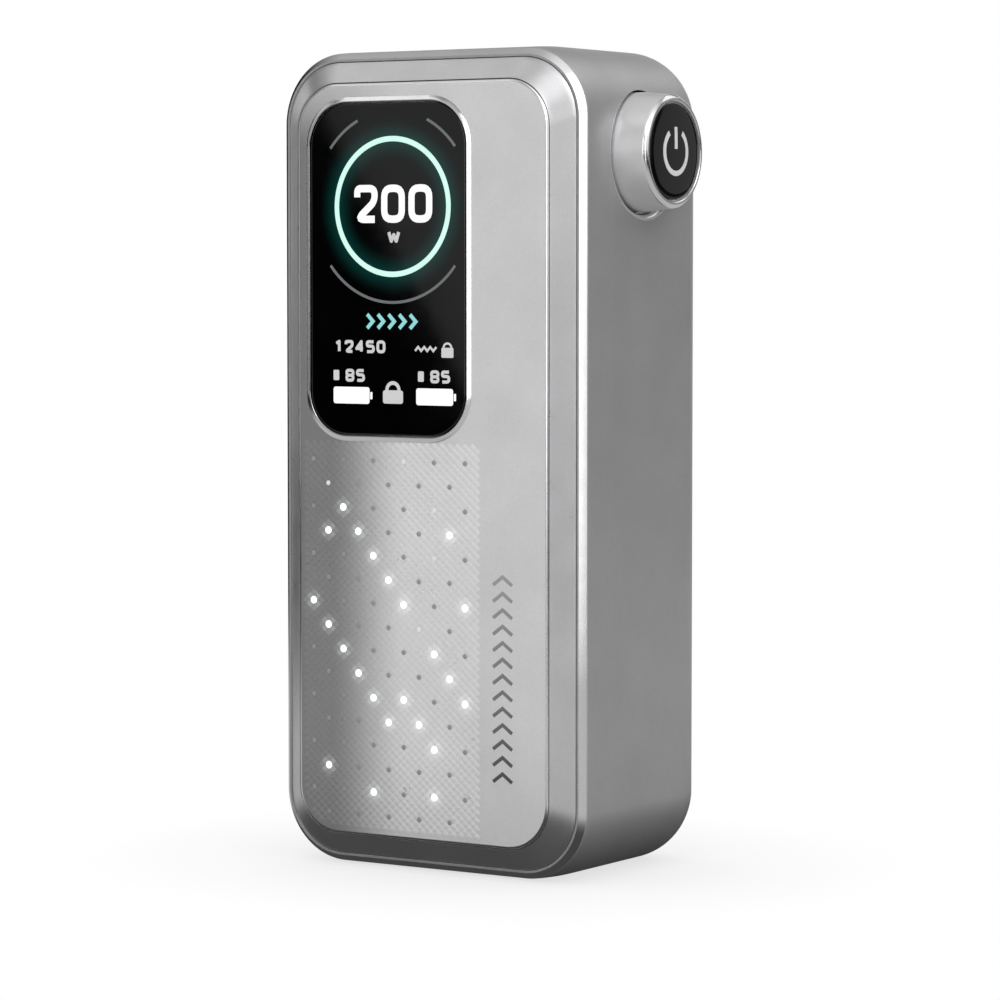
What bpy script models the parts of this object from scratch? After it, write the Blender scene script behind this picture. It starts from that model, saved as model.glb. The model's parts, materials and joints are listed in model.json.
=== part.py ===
"""A handheld twin-cell power bank with a front display, built as separate pieces.

The frame is in metres. +X is the control knob's side, -Y is the display's side and +Z is up.
The origin is at the centre of the base. The housing is a tube that is open at the front and the rear.
The front frame, the front plate and the screen close one end, and a cover held by magnets closes the
other, over two 18 x 65 mm cells.
"""

import math

import bmesh
import bpy
from mathutils import Matrix, Vector

MM = 0.001
GAP = 0.3 * MM
FINE_GAP = 0.1 * MM
PAST = 4.0 * MM

# Housing
WIDTH = 42.5 * MM
DEPTH = 30.2 * MM
HEIGHT = 95.5 * MM
CORNER = 8.5 * MM
SHOULDER = 0.3 * MM
SHOULDER_LENGTH = 6.0 * MM
RIM_CHAMFER = 0.75 * MM
REAR_FILLET = 6.0 * MM
TUNNEL_WIDTH = 38.0 * MM
TUNNEL_HEIGHT = 91.0 * MM
TUNNEL_CORNER = 6.5 * MM
NOTCH_RADIUS = 7.0 * MM
NOTCH_REACH = 3.1 * MM
NOTCH_FRONT = 12.9 * MM
BASE_VENTS = 4
BASE_VENT_PITCH = 4.4 * MM
BASE_VENT_WIDTH = 1.6 * MM
BASE_VENT_LENGTH = 7.0 * MM
FRONT = -DEPTH / 2
REAR = DEPTH / 2
MIDDLE = HEIGHT / 2

# Front frame and front plate
FACE_STEP = 2.15 * MM
RIM_LAND = 0.05 * MM
GROOVE = 0.3 * MM
FRAME_SEAT = 1.3 * MM
PLATE_WIDTH = 34.7 * MM
PLATE_HEIGHT = 87.7 * MM
PLATE_CORNER = 5.5 * MM
PLATE_THICKNESS = 1.5 * MM
PLATE_PROUD = 0.35 * MM
PLATE_CHAMFER = 0.35 * MM
PLATE_LEDGE = 1.5 * MM
RIM = FRONT + FACE_STEP
FRAME_INSET = SHOULDER + RIM_CHAMFER + RIM_LAND + GROOVE
FRAME_WIDTH = WIDTH - 2 * FRAME_INSET
FRAME_HEIGHT = HEIGHT - 2 * FRAME_INSET
FRAME_BACK = RIM + FRAME_SEAT
LEDGE = FRONT + PLATE_THICKNESS + GAP

# Screen and light panel behind the front plate
SCREEN_X = -4.57 * MM
SCREEN_Z = 70.05 * MM
SCREEN_WIDTH = 21.6 * MM
SCREEN_HEIGHT = 38.4 * MM
SCREEN_CORNER = 5.0 * MM
LENS_THICKNESS = 0.7 * MM
LENS_RECESS = 0.1 * MM
LENS_FIT = 0.15 * MM
BEZEL_WIDTH = 0.6 * MM
BEZEL_RISE = 0.18 * MM
DISPLAY_FRONT = FRONT + PLATE_THICKNESS + GAP
DISPLAY_BACK = -11.6 * MM
PANEL_X = -4.55 * MM
PANEL_Z = 27.9 * MM
PANEL_WIDTH = 22.2 * MM
PANEL_HEIGHT = 42.0 * MM
GUIDE_FRONT = FRONT + PLATE_THICKNESS + GAP
GUIDE_BACK = -12.3 * MM
LED_BOARD_FRONT = -12.0 * MM
LED_BOARD_BACK = -11.2 * MM
LED_BOARD_REACH = 2.2 * MM
LED_WIDTH = 1.2 * MM
LED_LENGTH = 24.0 * MM

# Main board, and the posts and screws that hold the frame to the cradle
BOARD_FRONT = -10.4 * MM
BOARD_THICKNESS = 1.2 * MM
BOARD_HALF_WIDTH = 18.2 * MM
BOARD_HALF_HEIGHT = 44.0 * MM
BOARD_CORNER = 5.5 * MM
BOARD_BACK = BOARD_FRONT + BOARD_THICKNESS
POST_RADIUS = 1.35 * MM
POST_BORE = 0.85 * MM
POST_END = -6.6 * MM
POST_ROOT = 0.6 * MM
POST_BORE_END = -11.0 * MM
COLLAR_RADIUS = 1.8 * MM
COLLAR_ROOT = 0.5 * MM
POSTS = {
    "lower_left": (-13.0 * MM, 4.65 * MM),
    "lower_right": (13.0 * MM, 4.65 * MM),
    "upper_left": (-17.2 * MM, 70.0 * MM),
    "upper_right": (17.2 * MM, 70.0 * MM),
}
SCREW_SEAT = -4.0 * MM
SCREW_HEAD_RADIUS = 1.25 * MM
SCREW_HEAD_HEIGHT = 1.0 * MM
SCREW_RADIUS = 0.65 * MM
SCREW_TIP = -10.8 * MM
SCREW_RECESS_RADIUS = 0.6 * MM
SCREW_RECESS_DEPTH = 0.5 * MM

# Cells and the cradle that holds them
CELL_X = 9.3 * MM
CELL_Y = 3.9 * MM
CELL_RADIUS = 9.2 * MM
CELL_BOTTOM = 8.2 * MM
CELL_LENGTH = 65.2 * MM
CELL_TOP = CELL_BOTTOM + CELL_LENGTH
TROUGH_RADIUS = 9.5 * MM
TROUGH_DEPTH = -0.5 * MM
CRADLE_WIDTH = 37.4 * MM
CRADLE_BOTTOM = 2.75 * MM
CRADLE_TOP = 92.55 * MM
CRADLE_FRONT = -6.3 * MM
CRADLE_REAR = 11.9 * MM
BAY_BOTTOM = 6.9 * MM
BAY_TOP = 74.0 * MM
DECK = 78.0 * MM
BULKHEAD = 10.4 * MM
PLUNGER_WELL_RADIUS = 2.3 * MM
PLUNGER_WELL_TOP = 77.2 * MM
PLUNGER_EXIT_RADIUS = 1.3 * MM
COUNTERBORE_RADIUS = 1.55 * MM
SCREW_HOLE_RADIUS = 0.95 * MM
BUSH_CLEARANCE = 8.9 * MM
PEG_RADIUS = 1.3 * MM
PEG_ROOT = -5.8 * MM
PEGS = ((13.5 * MM, 24.0 * MM), (13.5 * MM, 62.0 * MM), (-13.5 * MM, 32.0 * MM))
KEEPERS = (("lower", 10.6 * MM, 5.0 * MM), ("upper", 15.0 * MM, 88.5 * MM))
KEEPER_DEPTH = 1.0 * MM
KEEPER_HALF_HEIGHT = 1.5 * MM

# Rear cover and its magnets
COVER_GAP = 0.3 * MM
COVER_FRONT = 12.2 * MM
COVER_THICKNESS = 1.5 * MM
MAGNET_RADIUS = 1.7 * MM
MAGNET_THICKNESS = 1.35 * MM
COVER_VENTS = 5
COVER_VENT_PITCH = 3.2 * MM
COVER_VENT_RADIUS = 0.7 * MM
COVER_VENT_Z = 12.0 * MM
MAGNETS = {
    "lower_left": (-8.0 * MM, 5.0 * MM),
    "lower_right": (8.0 * MM, 5.0 * MM),
    "upper_left": (-12.5 * MM, 88.5 * MM),
    "upper_right": (12.5 * MM, 88.5 * MM),
}

# Control knob, turning and pressing along X
KNOB_Y = -0.2 * MM
KNOB_Z = 83.5 * MM
KNOB_PROUD = 4.0 * MM
KNOB_FACE = WIDTH / 2 + KNOB_PROUD
KNOB_HOLE = 7.4 * MM
KNOB_FLARE = 0.6 * MM
KNOB_RADIUS = 6.85 * MM
KNOB_BASE = 19.75 * MM
KNOB_DISH_RADIUS = 5.75 * MM
KNOB_DISH_DEPTH = 0.6 * MM
SHAFT_RADIUS = 1.8 * MM
SHAFT_END = 9.6 * MM
FLAT_HEIGHT = 1.4 * MM
BUSH_RELIEF_Z = 88.2 * MM
ENCODER_HALF = 5.2 * MM

# Output connector on the top
CONNECTOR_Y = -1.5 * MM

CONNECTOR_RECESS_RADIUS = 8.7 * MM
CONNECTOR_RECESS_DEPTH = 1.1 * MM
CONNECTOR_NECK_HOLE = 4.9 * MM

# USB socket in the left wall
USB_Y = -7.3 * MM
USB_Z = 13.0 * MM
USB_SLOT_HALF_Y = 1.9 * MM
USB_SLOT_HALF_Z = 4.8 * MM
USB_SLOT_CORNER = 1.8 * MM

COLOURS = {
    "housing_metal": ((0.46, 0.46, 0.47), 1.0, 0.42),
    "frame_metal": ((0.66, 0.67, 0.68), 1.0, 0.28),
    "plate_paint": ((0.72, 0.72, 0.73), 0.8, 0.35),
    "screen_glass": ((0.01, 0.01, 0.012), 0.0, 0.05),
    "display_black": ((0.03, 0.03, 0.035), 0.0, 0.4),
    "light_guide": ((0.85, 0.87, 0.88), 0.0, 0.3),
    "board_green": ((0.02, 0.12, 0.07), 0.0, 0.5),
    "led_white": ((0.95, 0.92, 0.75), 0.0, 0.4),
    "chip_black": ((0.025, 0.025, 0.028), 0.0, 0.55),
    "ferrite": ((0.16, 0.16, 0.17), 0.2, 0.6),
    "steel": ((0.62, 0.62, 0.64), 1.0, 0.25),
    "gold": ((0.83, 0.62, 0.28), 1.0, 0.25),
    "nickel": ((0.70, 0.68, 0.64), 1.0, 0.22),
    "copper_flex": ((0.55, 0.28, 0.08), 0.1, 0.45),
    "black_plastic": ((0.035, 0.035, 0.038), 0.0, 0.5),
    "insulator": ((0.80, 0.74, 0.60), 0.0, 0.5),
    "cell_wrap": ((0.10, 0.30, 0.52), 0.0, 0.35),
    "red_wire": ((0.60, 0.03, 0.03), 0.0, 0.45),
    "black_wire": ((0.02, 0.02, 0.02), 0.0, 0.45),
    "seal_rubber": ((0.06, 0.06, 0.06), 0.0, 0.8),
    "inlay_black": ((0.012, 0.012, 0.014), 0.0, 0.08),
}


def clear_scene():
    for obj in list(bpy.data.objects):
        bpy.data.objects.remove(obj)


def new_collection(name):
    collection = bpy.data.collections.new(name)
    bpy.context.scene.collection.children.link(collection)
    return collection


def material(name):
    made = bpy.data.materials.get(name)
    if made is None:
        colour, metallic, roughness = COLOURS[name]
        made = bpy.data.materials.new(name)
        made.use_nodes = True
        shader = made.node_tree.nodes["Principled BSDF"]
        shader.inputs["Base Color"].default_value = (*colour, 1.0)
        shader.inputs["Metallic"].default_value = metallic
        shader.inputs["Roughness"].default_value = roughness
    return made


def add(name, data, paint, location=(0, 0, 0)):
    """Puts a mesh or curve in the scene: a piece if it has a paint, and a cutter if it hasn't."""
    obj = bpy.data.objects.new(name, data)
    obj.location = location
    if paint is None:
        CUTTERS.objects.link(obj)
        obj.hide_render = True
        obj.display_type = "WIRE"
    else:
        PIECES.objects.link(obj)
        data.materials.append(material(paint))
    return obj


def finish(name, bm, paint, location=(0, 0, 0)):
    bmesh.ops.recalc_face_normals(bm, faces=bm.faces)
    mesh = bpy.data.meshes.new(name)
    bm.to_mesh(mesh)
    bm.free()
    mesh.shade_smooth()
    mesh.set_sharp_from_angle(angle=math.radians(30))
    return add(name, mesh, paint, location)


AXES = {"X": Vector((1, 0, 0)), "Y": Vector((0, 1, 0)), "Z": Vector((0, 0, 1))}


def direction(edge):
    return (edge.verts[0].co - edge.verts[1].co).normalized()


def block(name, paint, low, high, corner=0.0, axis="Y", segments=6):
    """A box between two opposite corners, with the edges along one axis rounded."""
    low, high = Vector(low), Vector(high)
    bm = bmesh.new()
    bmesh.ops.create_cube(bm, size=1, matrix=Matrix.Diagonal((*(high - low), 1)))
    if corner:
        along = [edge for edge in bm.edges if abs(direction(edge).dot(AXES[axis])) > 0.99]
        bmesh.ops.bevel(bm, geom=along, offset=corner, segments=segments, profile=0.5, affect="EDGES")
    return finish(name, bm, paint, (low + high) / 2)


def swept(
    name, paint, size, corner, front, rear, front_steps=(), rear_steps=(), x=0.0, z=MIDDLE, segments=8
):
    """A rounded rectangle swept along Y from front to rear.

    Each step draws the end face in by an inset and moves it out by a depth, so that chamfers and fillets run
    evenly round the outline.
    """
    width, height = size
    bm = bmesh.new()
    bmesh.ops.create_cube(bm, size=1, matrix=Matrix.Diagonal((width, rear - front, height, 1)))
    along = [e for e in bm.edges if abs(e.verts[0].co.y - e.verts[1].co.y) > (rear - front) / 2]
    bmesh.ops.bevel(bm, geom=along, offset=corner, segments=segments, profile=0.5, affect="EDGES")
    for side, steps in ((-1, front_steps), (1, rear_steps)):
        face = max(bm.faces, key=lambda f: side * f.calc_center_median().y)
        for inset, depth in steps:
            bmesh.ops.inset_region(bm, faces=[face], thickness=inset, depth=depth, use_even_offset=True)
    return finish(name, bm, paint, (x, (front + rear) / 2, z))


def rod(name, paint, radius, start, end, sides=24, end_radius=None):
    """A cylinder or cone between two points on a line along one axis."""
    start, end = Vector(start), Vector(end)
    bm = bmesh.new()
    bmesh.ops.create_cone(
        bm,
        cap_ends=True,
        segments=sides,
        radius1=radius,
        radius2=radius if end_radius is None else end_radius,
        depth=(end - start).length,
        matrix=(end - start).to_track_quat("Z", "Y").to_matrix().to_4x4(),
    )
    return finish(name, bm, paint, (start + end) / 2)


def rod_y(name, paint, radius, x, z, start, end, **options):
    """A rod along Y."""
    return rod(name, paint, radius, (x, start, z), (x, end, z), **options)


def knob_rod(name, paint, radius, start, end, **options):
    """A rod along X on the knob's axis."""
    return rod(name, paint, radius, (start, KNOB_Y, KNOB_Z), (end, KNOB_Y, KNOB_Z), **options)


def knob_block(name, paint, start, end, half, corner):
    """A square block along X, centred on the knob's axis."""
    low = (start, KNOB_Y - half, KNOB_Z - half)
    high = (end, KNOB_Y + half, KNOB_Z + half)
    return block(name, paint, low, high, corner, "X", segments=2)


def turned(name, paint, profile, location=(0, 0, 0), along_x=False, closed=False, steps=24):
    """A Screw modifier round local Z.

    The profile's (radius, height) points run down the outer side. A closed profile makes a ring. along_x lays
    the axis along +X, so that heights are X positions.
    """
    mesh = bpy.data.meshes.new(name)
    count = len(profile)
    edges = [(i, i + 1) for i in range(count - 1)] + ([(count - 1, 0)] if closed else [])
    mesh.from_pydata([(radius, 0, height) for radius, height in profile], edges, [])
    obj = add(name, mesh, paint, location)
    if along_x:
        obj.rotation_euler = (0, math.pi / 2, 0)
    screw = obj.modifiers.new("turn", "SCREW")
    screw.steps = screw.render_steps = steps
    screw.use_merge_vertices = True
    screw.merge_threshold = 1e-6
    screw.use_smooth_shade = True
    return obj


def tube(name, paint, points, radius, sharp=False):
    """A wire along the points: straight between them if sharp, else one smooth curve."""
    curve = bpy.data.curves.new(name, "CURVE")
    curve.dimensions = "3D"
    curve.bevel_depth = radius
    curve.bevel_resolution = 2
    curve.use_fill_caps = True
    curve.resolution_u = 3
    spline = curve.splines.new("POLY" if sharp else "NURBS")
    spline.points.add(len(points) - 1)
    for point, place in zip(spline.points, points):
        point.co = (*place, 1)
    if not sharp:
        spline.use_endpoint_u = True
        spline.order_u = 3
    return add(name, curve, paint)


def coil(name, axis, centre, radius, wire, start, end, turns, points_per_turn=8):
    """A spring round a line along X or Z, from start to end on that axis."""
    low, high = start + wire, end - wire
    total = round(turns * points_per_turn)
    places = []
    for i in range(total + 1):
        angle = 2 * math.pi * i / points_per_turn
        along = low + (high - low) * i / total
        a, b = radius * math.cos(angle), radius * math.sin(angle)
        if axis == "X":
            places.append((along, centre[0] + a, centre[1] + b))
        else:
            places.append((centre[0] + a, centre[1] + b, along))
    return tube(name, "steel", places, wire, sharp=True)


def boolean(target, operation, tools):
    for tool in tools:
        modifier = target.modifiers.new(f"{operation.lower()} {tool.name}", "BOOLEAN")
        modifier.operation = operation
        modifier.object = tool
    return target


def cut(target, *tools):
    return boolean(target, "DIFFERENCE", tools)


def join(target, *tools):
    return boolean(target, "UNION", tools)


def fillet_steps(radius, count):
    """The insets and depths that round an end face by a quarter circle."""
    angles = [math.pi / 2 * i / count for i in range(count + 1)]
    return [
        (radius * (math.cos(a) - math.cos(b)), radius * (math.sin(b) - math.sin(a)))
        for a, b in zip(angles, angles[1:])
    ]


def housing_block(name, paint):
    """The housing's outer shape as one solid: a soft shoulder and a chamfer in front, and a fillet behind."""
    shoulder_count = 4
    shoulder = [
        (SHOULDER * ((i + 1) ** 2 - i**2) / shoulder_count**2, SHOULDER_LENGTH / shoulder_count)
        for i in range(shoulder_count)
    ]
    return swept(
        name,
        paint,
        (WIDTH, HEIGHT),
        CORNER,
        RIM + RIM_CHAMFER + SHOULDER_LENGTH,
        REAR - REAR_FILLET,
        front_steps=[*shoulder, (RIM_CHAMFER, RIM_CHAMFER)],
        rear_steps=fillet_steps(REAR_FILLET, 6),
    )


def finger_notch(name):
    """A scallop across the joint of housing and rear cover, where a fingernail lifts the cover."""
    return rod_y(name, None, NOTCH_RADIUS, 0, NOTCH_REACH - NOTCH_RADIUS, NOTCH_FRONT, REAR + PAST, sides=40)


def build_housing():
    shell = housing_block("body_shell", "housing_metal")
    tunnel_size = (TUNNEL_WIDTH, TUNNEL_HEIGHT)
    tunnel = swept("tunnel", None, tunnel_size, TUNNEL_CORNER, FRONT - PAST, REAR + PAST, segments=6)
    seat_size = (FRAME_WIDTH + 2 * GROOVE, FRAME_HEIGHT + 2 * GROOVE)
    seat = swept("frame_seat", None, seat_size, CORNER - FRAME_INSET + GROOVE, FRONT - PAST, FRAME_BACK + GAP)
    knob_hole = knob_rod("knob_hole", None, KNOB_HOLE, KNOB_FACE, WIDTH / 2 - PAST, sides=40)
    knob_flare = knob_rod(
        "knob_flare",
        None,
        KNOB_HOLE + 2 * KNOB_FLARE,
        WIDTH / 2 + KNOB_FLARE,
        WIDTH / 2 - KNOB_FLARE,
        sides=40,
        end_radius=KNOB_HOLE,
    )
    usb_slot = block(
        "usb_slot",
        None,
        (-WIDTH / 2 - PAST, USB_Y - USB_SLOT_HALF_Y, USB_Z - USB_SLOT_HALF_Z),
        (-WIDTH / 2 + PAST, USB_Y + USB_SLOT_HALF_Y, USB_Z + USB_SLOT_HALF_Z),
        USB_SLOT_CORNER,
        "X",
    )
    above = (0, CONNECTOR_Y, HEIGHT + PAST)
    recess_floor = (0, CONNECTOR_Y, HEIGHT - CONNECTOR_RECESS_DEPTH)
    deck_recess = rod("deck_recess", None, CONNECTOR_RECESS_RADIUS, recess_floor, above, sides=36)
    neck_hole = rod("neck_hole", None, CONNECTOR_NECK_HOLE, (0, CONNECTOR_Y, HEIGHT - PAST), above)
    cut(shell, tunnel, seat, knob_flare, knob_hole, usb_slot, deck_recess, neck_hole)
    cut(shell, finger_notch("shell_notch"))
    for i in range(BASE_VENTS):
        x = (i - (BASE_VENTS - 1) / 2) * BASE_VENT_PITCH
        vent = block(
            f"base_vent_{i + 1}",
            None,
            (x - BASE_VENT_WIDTH / 2, -BASE_VENT_LENGTH / 2, -PAST),
            (x + BASE_VENT_WIDTH / 2, BASE_VENT_LENGTH / 2, PAST),
            0.48 * BASE_VENT_WIDTH,
            "Z",
            segments=3,
        )
        cut(shell, vent)


def build_front_frame():
    band = (FRAME_WIDTH - PLATE_WIDTH) / 2
    frame = swept(
        "front_frame",
        "frame_metal",
        (FRAME_WIDTH, FRAME_HEIGHT),
        CORNER - FRAME_INSET,
        RIM,
        FRAME_BACK,
        front_steps=[(band, FACE_STEP - PLATE_PROUD)],
    )
    pocket_size = (PLATE_WIDTH + 2 * GAP, PLATE_HEIGHT + 2 * GAP)
    pocket = swept("plate_pocket", None, pocket_size, PLATE_CORNER + GAP, FRONT - PAST, LEDGE)
    opening_size = (PLATE_WIDTH - 2 * PLATE_LEDGE, PLATE_HEIGHT - 2 * PLATE_LEDGE)
    opening = swept("frame_opening", None, opening_size, 1.2 * MM, FRONT - PAST, PAST, segments=3)
    cut(frame, pocket, opening)
    for name, (x, z) in POSTS.items():
        post = rod_y(f"post_{name}", None, POST_RADIUS, x, z, FRAME_BACK - POST_ROOT, POST_END, sides=16)
        join(frame, post)
    for name in ("lower_left", "lower_right"):
        x, z = POSTS[name]
        start, end = FRAME_BACK - COLLAR_ROOT, BOARD_FRONT - GAP
        join(frame, rod_y(f"collar_{name}", None, COLLAR_RADIUS, x, z, start, end, sides=16))
    for name, (x, z) in POSTS.items():
        cut(frame, rod_y(f"post_bore_{name}", None, POST_BORE, x, z, POST_BORE_END, 0, sides=12))


def build_front_plate():
    face = FRONT + BEZEL_RISE
    plate = swept(
        "front_plate",
        "plate_paint",
        (PLATE_WIDTH, PLATE_HEIGHT),
        PLATE_CORNER,
        face + PLATE_CHAMFER,
        FRONT + PLATE_THICKNESS,
        front_steps=fillet_steps(PLATE_CHAMFER, 2),
    )
    bezel_out = LENS_FIT + BEZEL_WIDTH
    bezel = swept(
        "screen_bezel",
        None,
        (SCREEN_WIDTH + 2 * bezel_out, SCREEN_HEIGHT + 2 * bezel_out),
        SCREEN_CORNER + bezel_out,
        face,
        FRONT + PLATE_THICKNESS / 2,
        front_steps=[(BEZEL_WIDTH, BEZEL_RISE)],
        x=SCREEN_X,
        z=SCREEN_Z,
    )
    join(plate, bezel)
    lens_back = FRONT + LENS_RECESS + LENS_THICKNESS
    lens_pocket = swept(
        "lens_pocket",
        None,
        (SCREEN_WIDTH + 2 * LENS_FIT, SCREEN_HEIGHT + 2 * LENS_FIT),
        SCREEN_CORNER + LENS_FIT,
        FRONT - PAST,
        lens_back + GAP,
        x=SCREEN_X,
        z=SCREEN_Z,
    )
    ledge = 0.85 * MM
    window = swept(
        "display_window",
        None,
        (SCREEN_WIDTH - 2 * ledge, SCREEN_HEIGHT - 2 * ledge),
        SCREEN_CORNER - ledge,
        FRONT - PAST,
        FRONT + PAST,
        x=SCREEN_X,
        z=SCREEN_Z,
    )
    cut(plate, lens_pocket, window)
    edge = 0.15 * MM
    swept(
        "screen_lens",
        "screen_glass",
        (SCREEN_WIDTH, SCREEN_HEIGHT),
        SCREEN_CORNER,
        FRONT + LENS_RECESS + edge,
        lens_back,
        front_steps=[(edge, edge)],
        x=SCREEN_X,
        z=SCREEN_Z,
    )


def build_display():
    half_width, half_height = 10.9 * MM, 19.6 * MM
    block(
        "display_module",
        "display_black",
        (SCREEN_X - half_width, DISPLAY_FRONT, SCREEN_Z - half_height),
        (SCREEN_X + half_width, DISPLAY_BACK, SCREEN_Z + half_height),
        1.0 * MM,
        segments=3,
    )
    flex_thickness = 0.12 * MM
    stand_off = GAP + flex_thickness / 2
    start, end = DISPLAY_BACK + stand_off, BOARD_FRONT - stand_off
    fold, turn = 50.2 * MM, 0.4 * MM
    path = [(start, fold + 4 * MM), (start, fold)]
    middle, half = (start + end) / 2, (end - start) / 2
    for angle in (math.pi / 4, math.pi / 2, 3 * math.pi / 4):
        path.append((middle - half * math.cos(angle), fold - turn * math.sin(angle)))
    path += [(end, fold), (end, fold + 3 * MM)]
    width = 9.0 * MM
    bm = bmesh.new()
    verts = [bm.verts.new((SCREEN_X - width / 2, y, z)) for y, z in path]
    edges = [bm.edges.new(pair) for pair in zip(verts, verts[1:])]
    swept_edge = bmesh.ops.extrude_edge_only(bm, edges=edges)
    moved = [v for v in swept_edge["geom"] if isinstance(v, bmesh.types.BMVert)]
    bmesh.ops.translate(bm, verts=moved, vec=(width, 0, 0))
    flex = finish("display_flex", bm, "copper_flex")
    solid = flex.modifiers.new("thickness", "SOLIDIFY")
    solid.thickness = flex_thickness
    solid.offset = 0


def build_light_panel():
    low_x, high_x = PANEL_X - PANEL_WIDTH / 2, PANEL_X + PANEL_WIDTH / 2
    low_z, high_z = PANEL_Z - PANEL_HEIGHT / 2, PANEL_Z + PANEL_HEIGHT / 2
    low, high = (low_x, GUIDE_FRONT, low_z), (high_x, GUIDE_BACK, high_z)
    block("light_guide", "light_guide", low, high, 1.0 * MM, segments=3)
    low, high = (low_x, LED_BOARD_FRONT, low_z), (high_x + LED_BOARD_REACH, LED_BOARD_BACK, high_z)
    block("led_board", "board_green", low, high, 0.8 * MM, segments=3)
    size = Vector((LED_WIDTH, GUIDE_BACK - GUIDE_FRONT - FINE_GAP, LED_LENGTH))
    low = Vector((high_x + GAP, GUIDE_FRONT + FINE_GAP, PANEL_Z - size.z / 2))
    block("led_bar", "led_white", low, low + size, 0.2 * MM, "X", segments=2)


def build_main_board():
    board = block(
        "main_board",
        "board_green",
        (-BOARD_HALF_WIDTH, BOARD_FRONT, MIDDLE - BOARD_HALF_HEIGHT),
        (BOARD_HALF_WIDTH, BOARD_BACK, MIDDLE + BOARD_HALF_HEIGHT),
        BOARD_CORNER,
    )
    clearance = POST_RADIUS + GAP
    ahead, behind = BOARD_FRONT - BOARD_THICKNESS, BOARD_BACK + BOARD_THICKNESS
    for name, (x, z) in POSTS.items():
        cut(board, rod_y(f"post_clearance_{name}", None, clearance, x, z, ahead, behind, sides=16))
    face = BOARD_BACK + GAP
    parts = (
        ("control_chip", "chip_black", (4.0, 58.0), (7.0, 7.0), 0.9),
        ("power_chip", "chip_black", (-3.5, 36.0), (4.0, 4.0), 0.8),
        ("power_inductor_left", "ferrite", (-10.0, 48.0), (7.2, 7.2), 2.1),
        ("power_inductor_right", "ferrite", (10.0, 44.0), (7.2, 7.2), 2.1),
    )
    for name, paint, (x, z), (width, height), rise in parts:
        block(
            name,
            paint,
            ((x - width / 2) * MM, face, (z - height / 2) * MM),
            ((x + width / 2) * MM, face + rise * MM, (z + height / 2) * MM),
            0.6 * MM,
            segments=2,
        )


def build_usb_socket():
    mouth, back = -WIDTH / 2 + 0.35 * MM, -13.6 * MM
    half_y, half_z, wall = 1.6 * MM, 4.5 * MM, 0.3 * MM
    socket = block(
        "usb_socket",
        "steel",
        (mouth, USB_Y - half_y, USB_Z - half_z),
        (back, USB_Y + half_y, USB_Z + half_z),
        1.55 * MM,
        "X",
    )
    inside = block(
        "usb_inside",
        None,
        (mouth - PAST, USB_Y - half_y + wall, USB_Z - half_z + wall),
        (back - 0.8 * MM, USB_Y + half_y - wall, USB_Z + half_z - wall),
        1.25 * MM,
        "X",
    )
    cut(socket, inside)
    block(
        "usb_tongue",
        "black_plastic",
        (mouth + 0.9 * MM, USB_Y - 0.35 * MM, USB_Z - 3.3 * MM),
        (back - 0.8 * MM - GAP, USB_Y + 0.35 * MM, USB_Z + 3.3 * MM),
        0.3 * MM,
        "X",
        segments=2,
    )


def build_cradle():
    cradle = block(
        "battery_cradle",
        "black_plastic",
        (-CRADLE_WIDTH / 2, CRADLE_FRONT, CRADLE_BOTTOM),
        (CRADLE_WIDTH / 2, CRADLE_REAR, CRADLE_TOP),
        TUNNEL_CORNER - 0.3 * MM,
    )
    side = CRADLE_WIDTH / 2 + PAST
    low, high = (-side, CRADLE_FRONT - PAST, DECK), (side, BULKHEAD, CRADLE_TOP + PAST)
    above_deck = block("above_deck", None, low, high)
    bay = block("cell_bay", None, (-side, TROUGH_DEPTH, BAY_BOTTOM), (side, CRADLE_REAR + PAST, BAY_TOP))
    cut(cradle, above_deck, bay)
    for name, x in (("left", -CELL_X), ("right", CELL_X)):
        spans = (
            ("trough", TROUGH_RADIUS, BAY_BOTTOM, BAY_TOP, 40),
            ("plunger_well", PLUNGER_WELL_RADIUS, BAY_TOP - PAST, PLUNGER_WELL_TOP, 16),
            ("plunger_exit", PLUNGER_EXIT_RADIUS, BAY_TOP, DECK + PAST, 16),
        )
        for kind, radius, start, end, sides in spans:
            low, high = (x, CELL_Y, start), (x, CELL_Y, end)
            cut(cradle, rod(f"{kind}_{name}", None, radius, low, high, sides=sides))
    for name, (x, z) in POSTS.items():
        seat = SCREW_SEAT - GAP
        cut(cradle, rod_y(f"counterbore_{name}", None, COUNTERBORE_RADIUS, x, z, seat, REAR, sides=16))
        front = CRADLE_FRONT - PAST
        cut(cradle, rod_y(f"screw_hole_{name}", None, SCREW_HOLE_RADIUS, x, z, front, 0, sides=12))
    half_channel = BASE_VENTS * BASE_VENT_PITCH / 2
    vent_channel = block(
        "vent_channel",
        None,
        (-half_channel, -1.0 * MM, CRADLE_BOTTOM - PAST),
        (half_channel, BASE_VENT_LENGTH / 2, BAY_BOTTOM + 1.0 * MM),
    )
    cut(cradle, vent_channel)
    usb_relief = block(
        "usb_relief",
        None,
        (-side, CRADLE_FRONT - PAST, USB_Z - USB_SLOT_HALF_Z - FINE_GAP),
        (-13.2 * MM, USB_Y + USB_SLOT_HALF_Y, USB_Z + USB_SLOT_HALF_Z + FINE_GAP),
    )
    cut(cradle, usb_relief)
    cut(cradle, knob_rod("bush_clearance", None, BUSH_CLEARANCE, 17.5 * MM, side, sides=40))
    for i, (x, z) in enumerate(PEGS):
        peg = rod_y(f"board_peg_{i + 1}", None, PEG_RADIUS, x, z, PEG_ROOT, BOARD_BACK + GAP, sides=16)
        join(cradle, peg)
    build_keepers(cradle)


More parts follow.
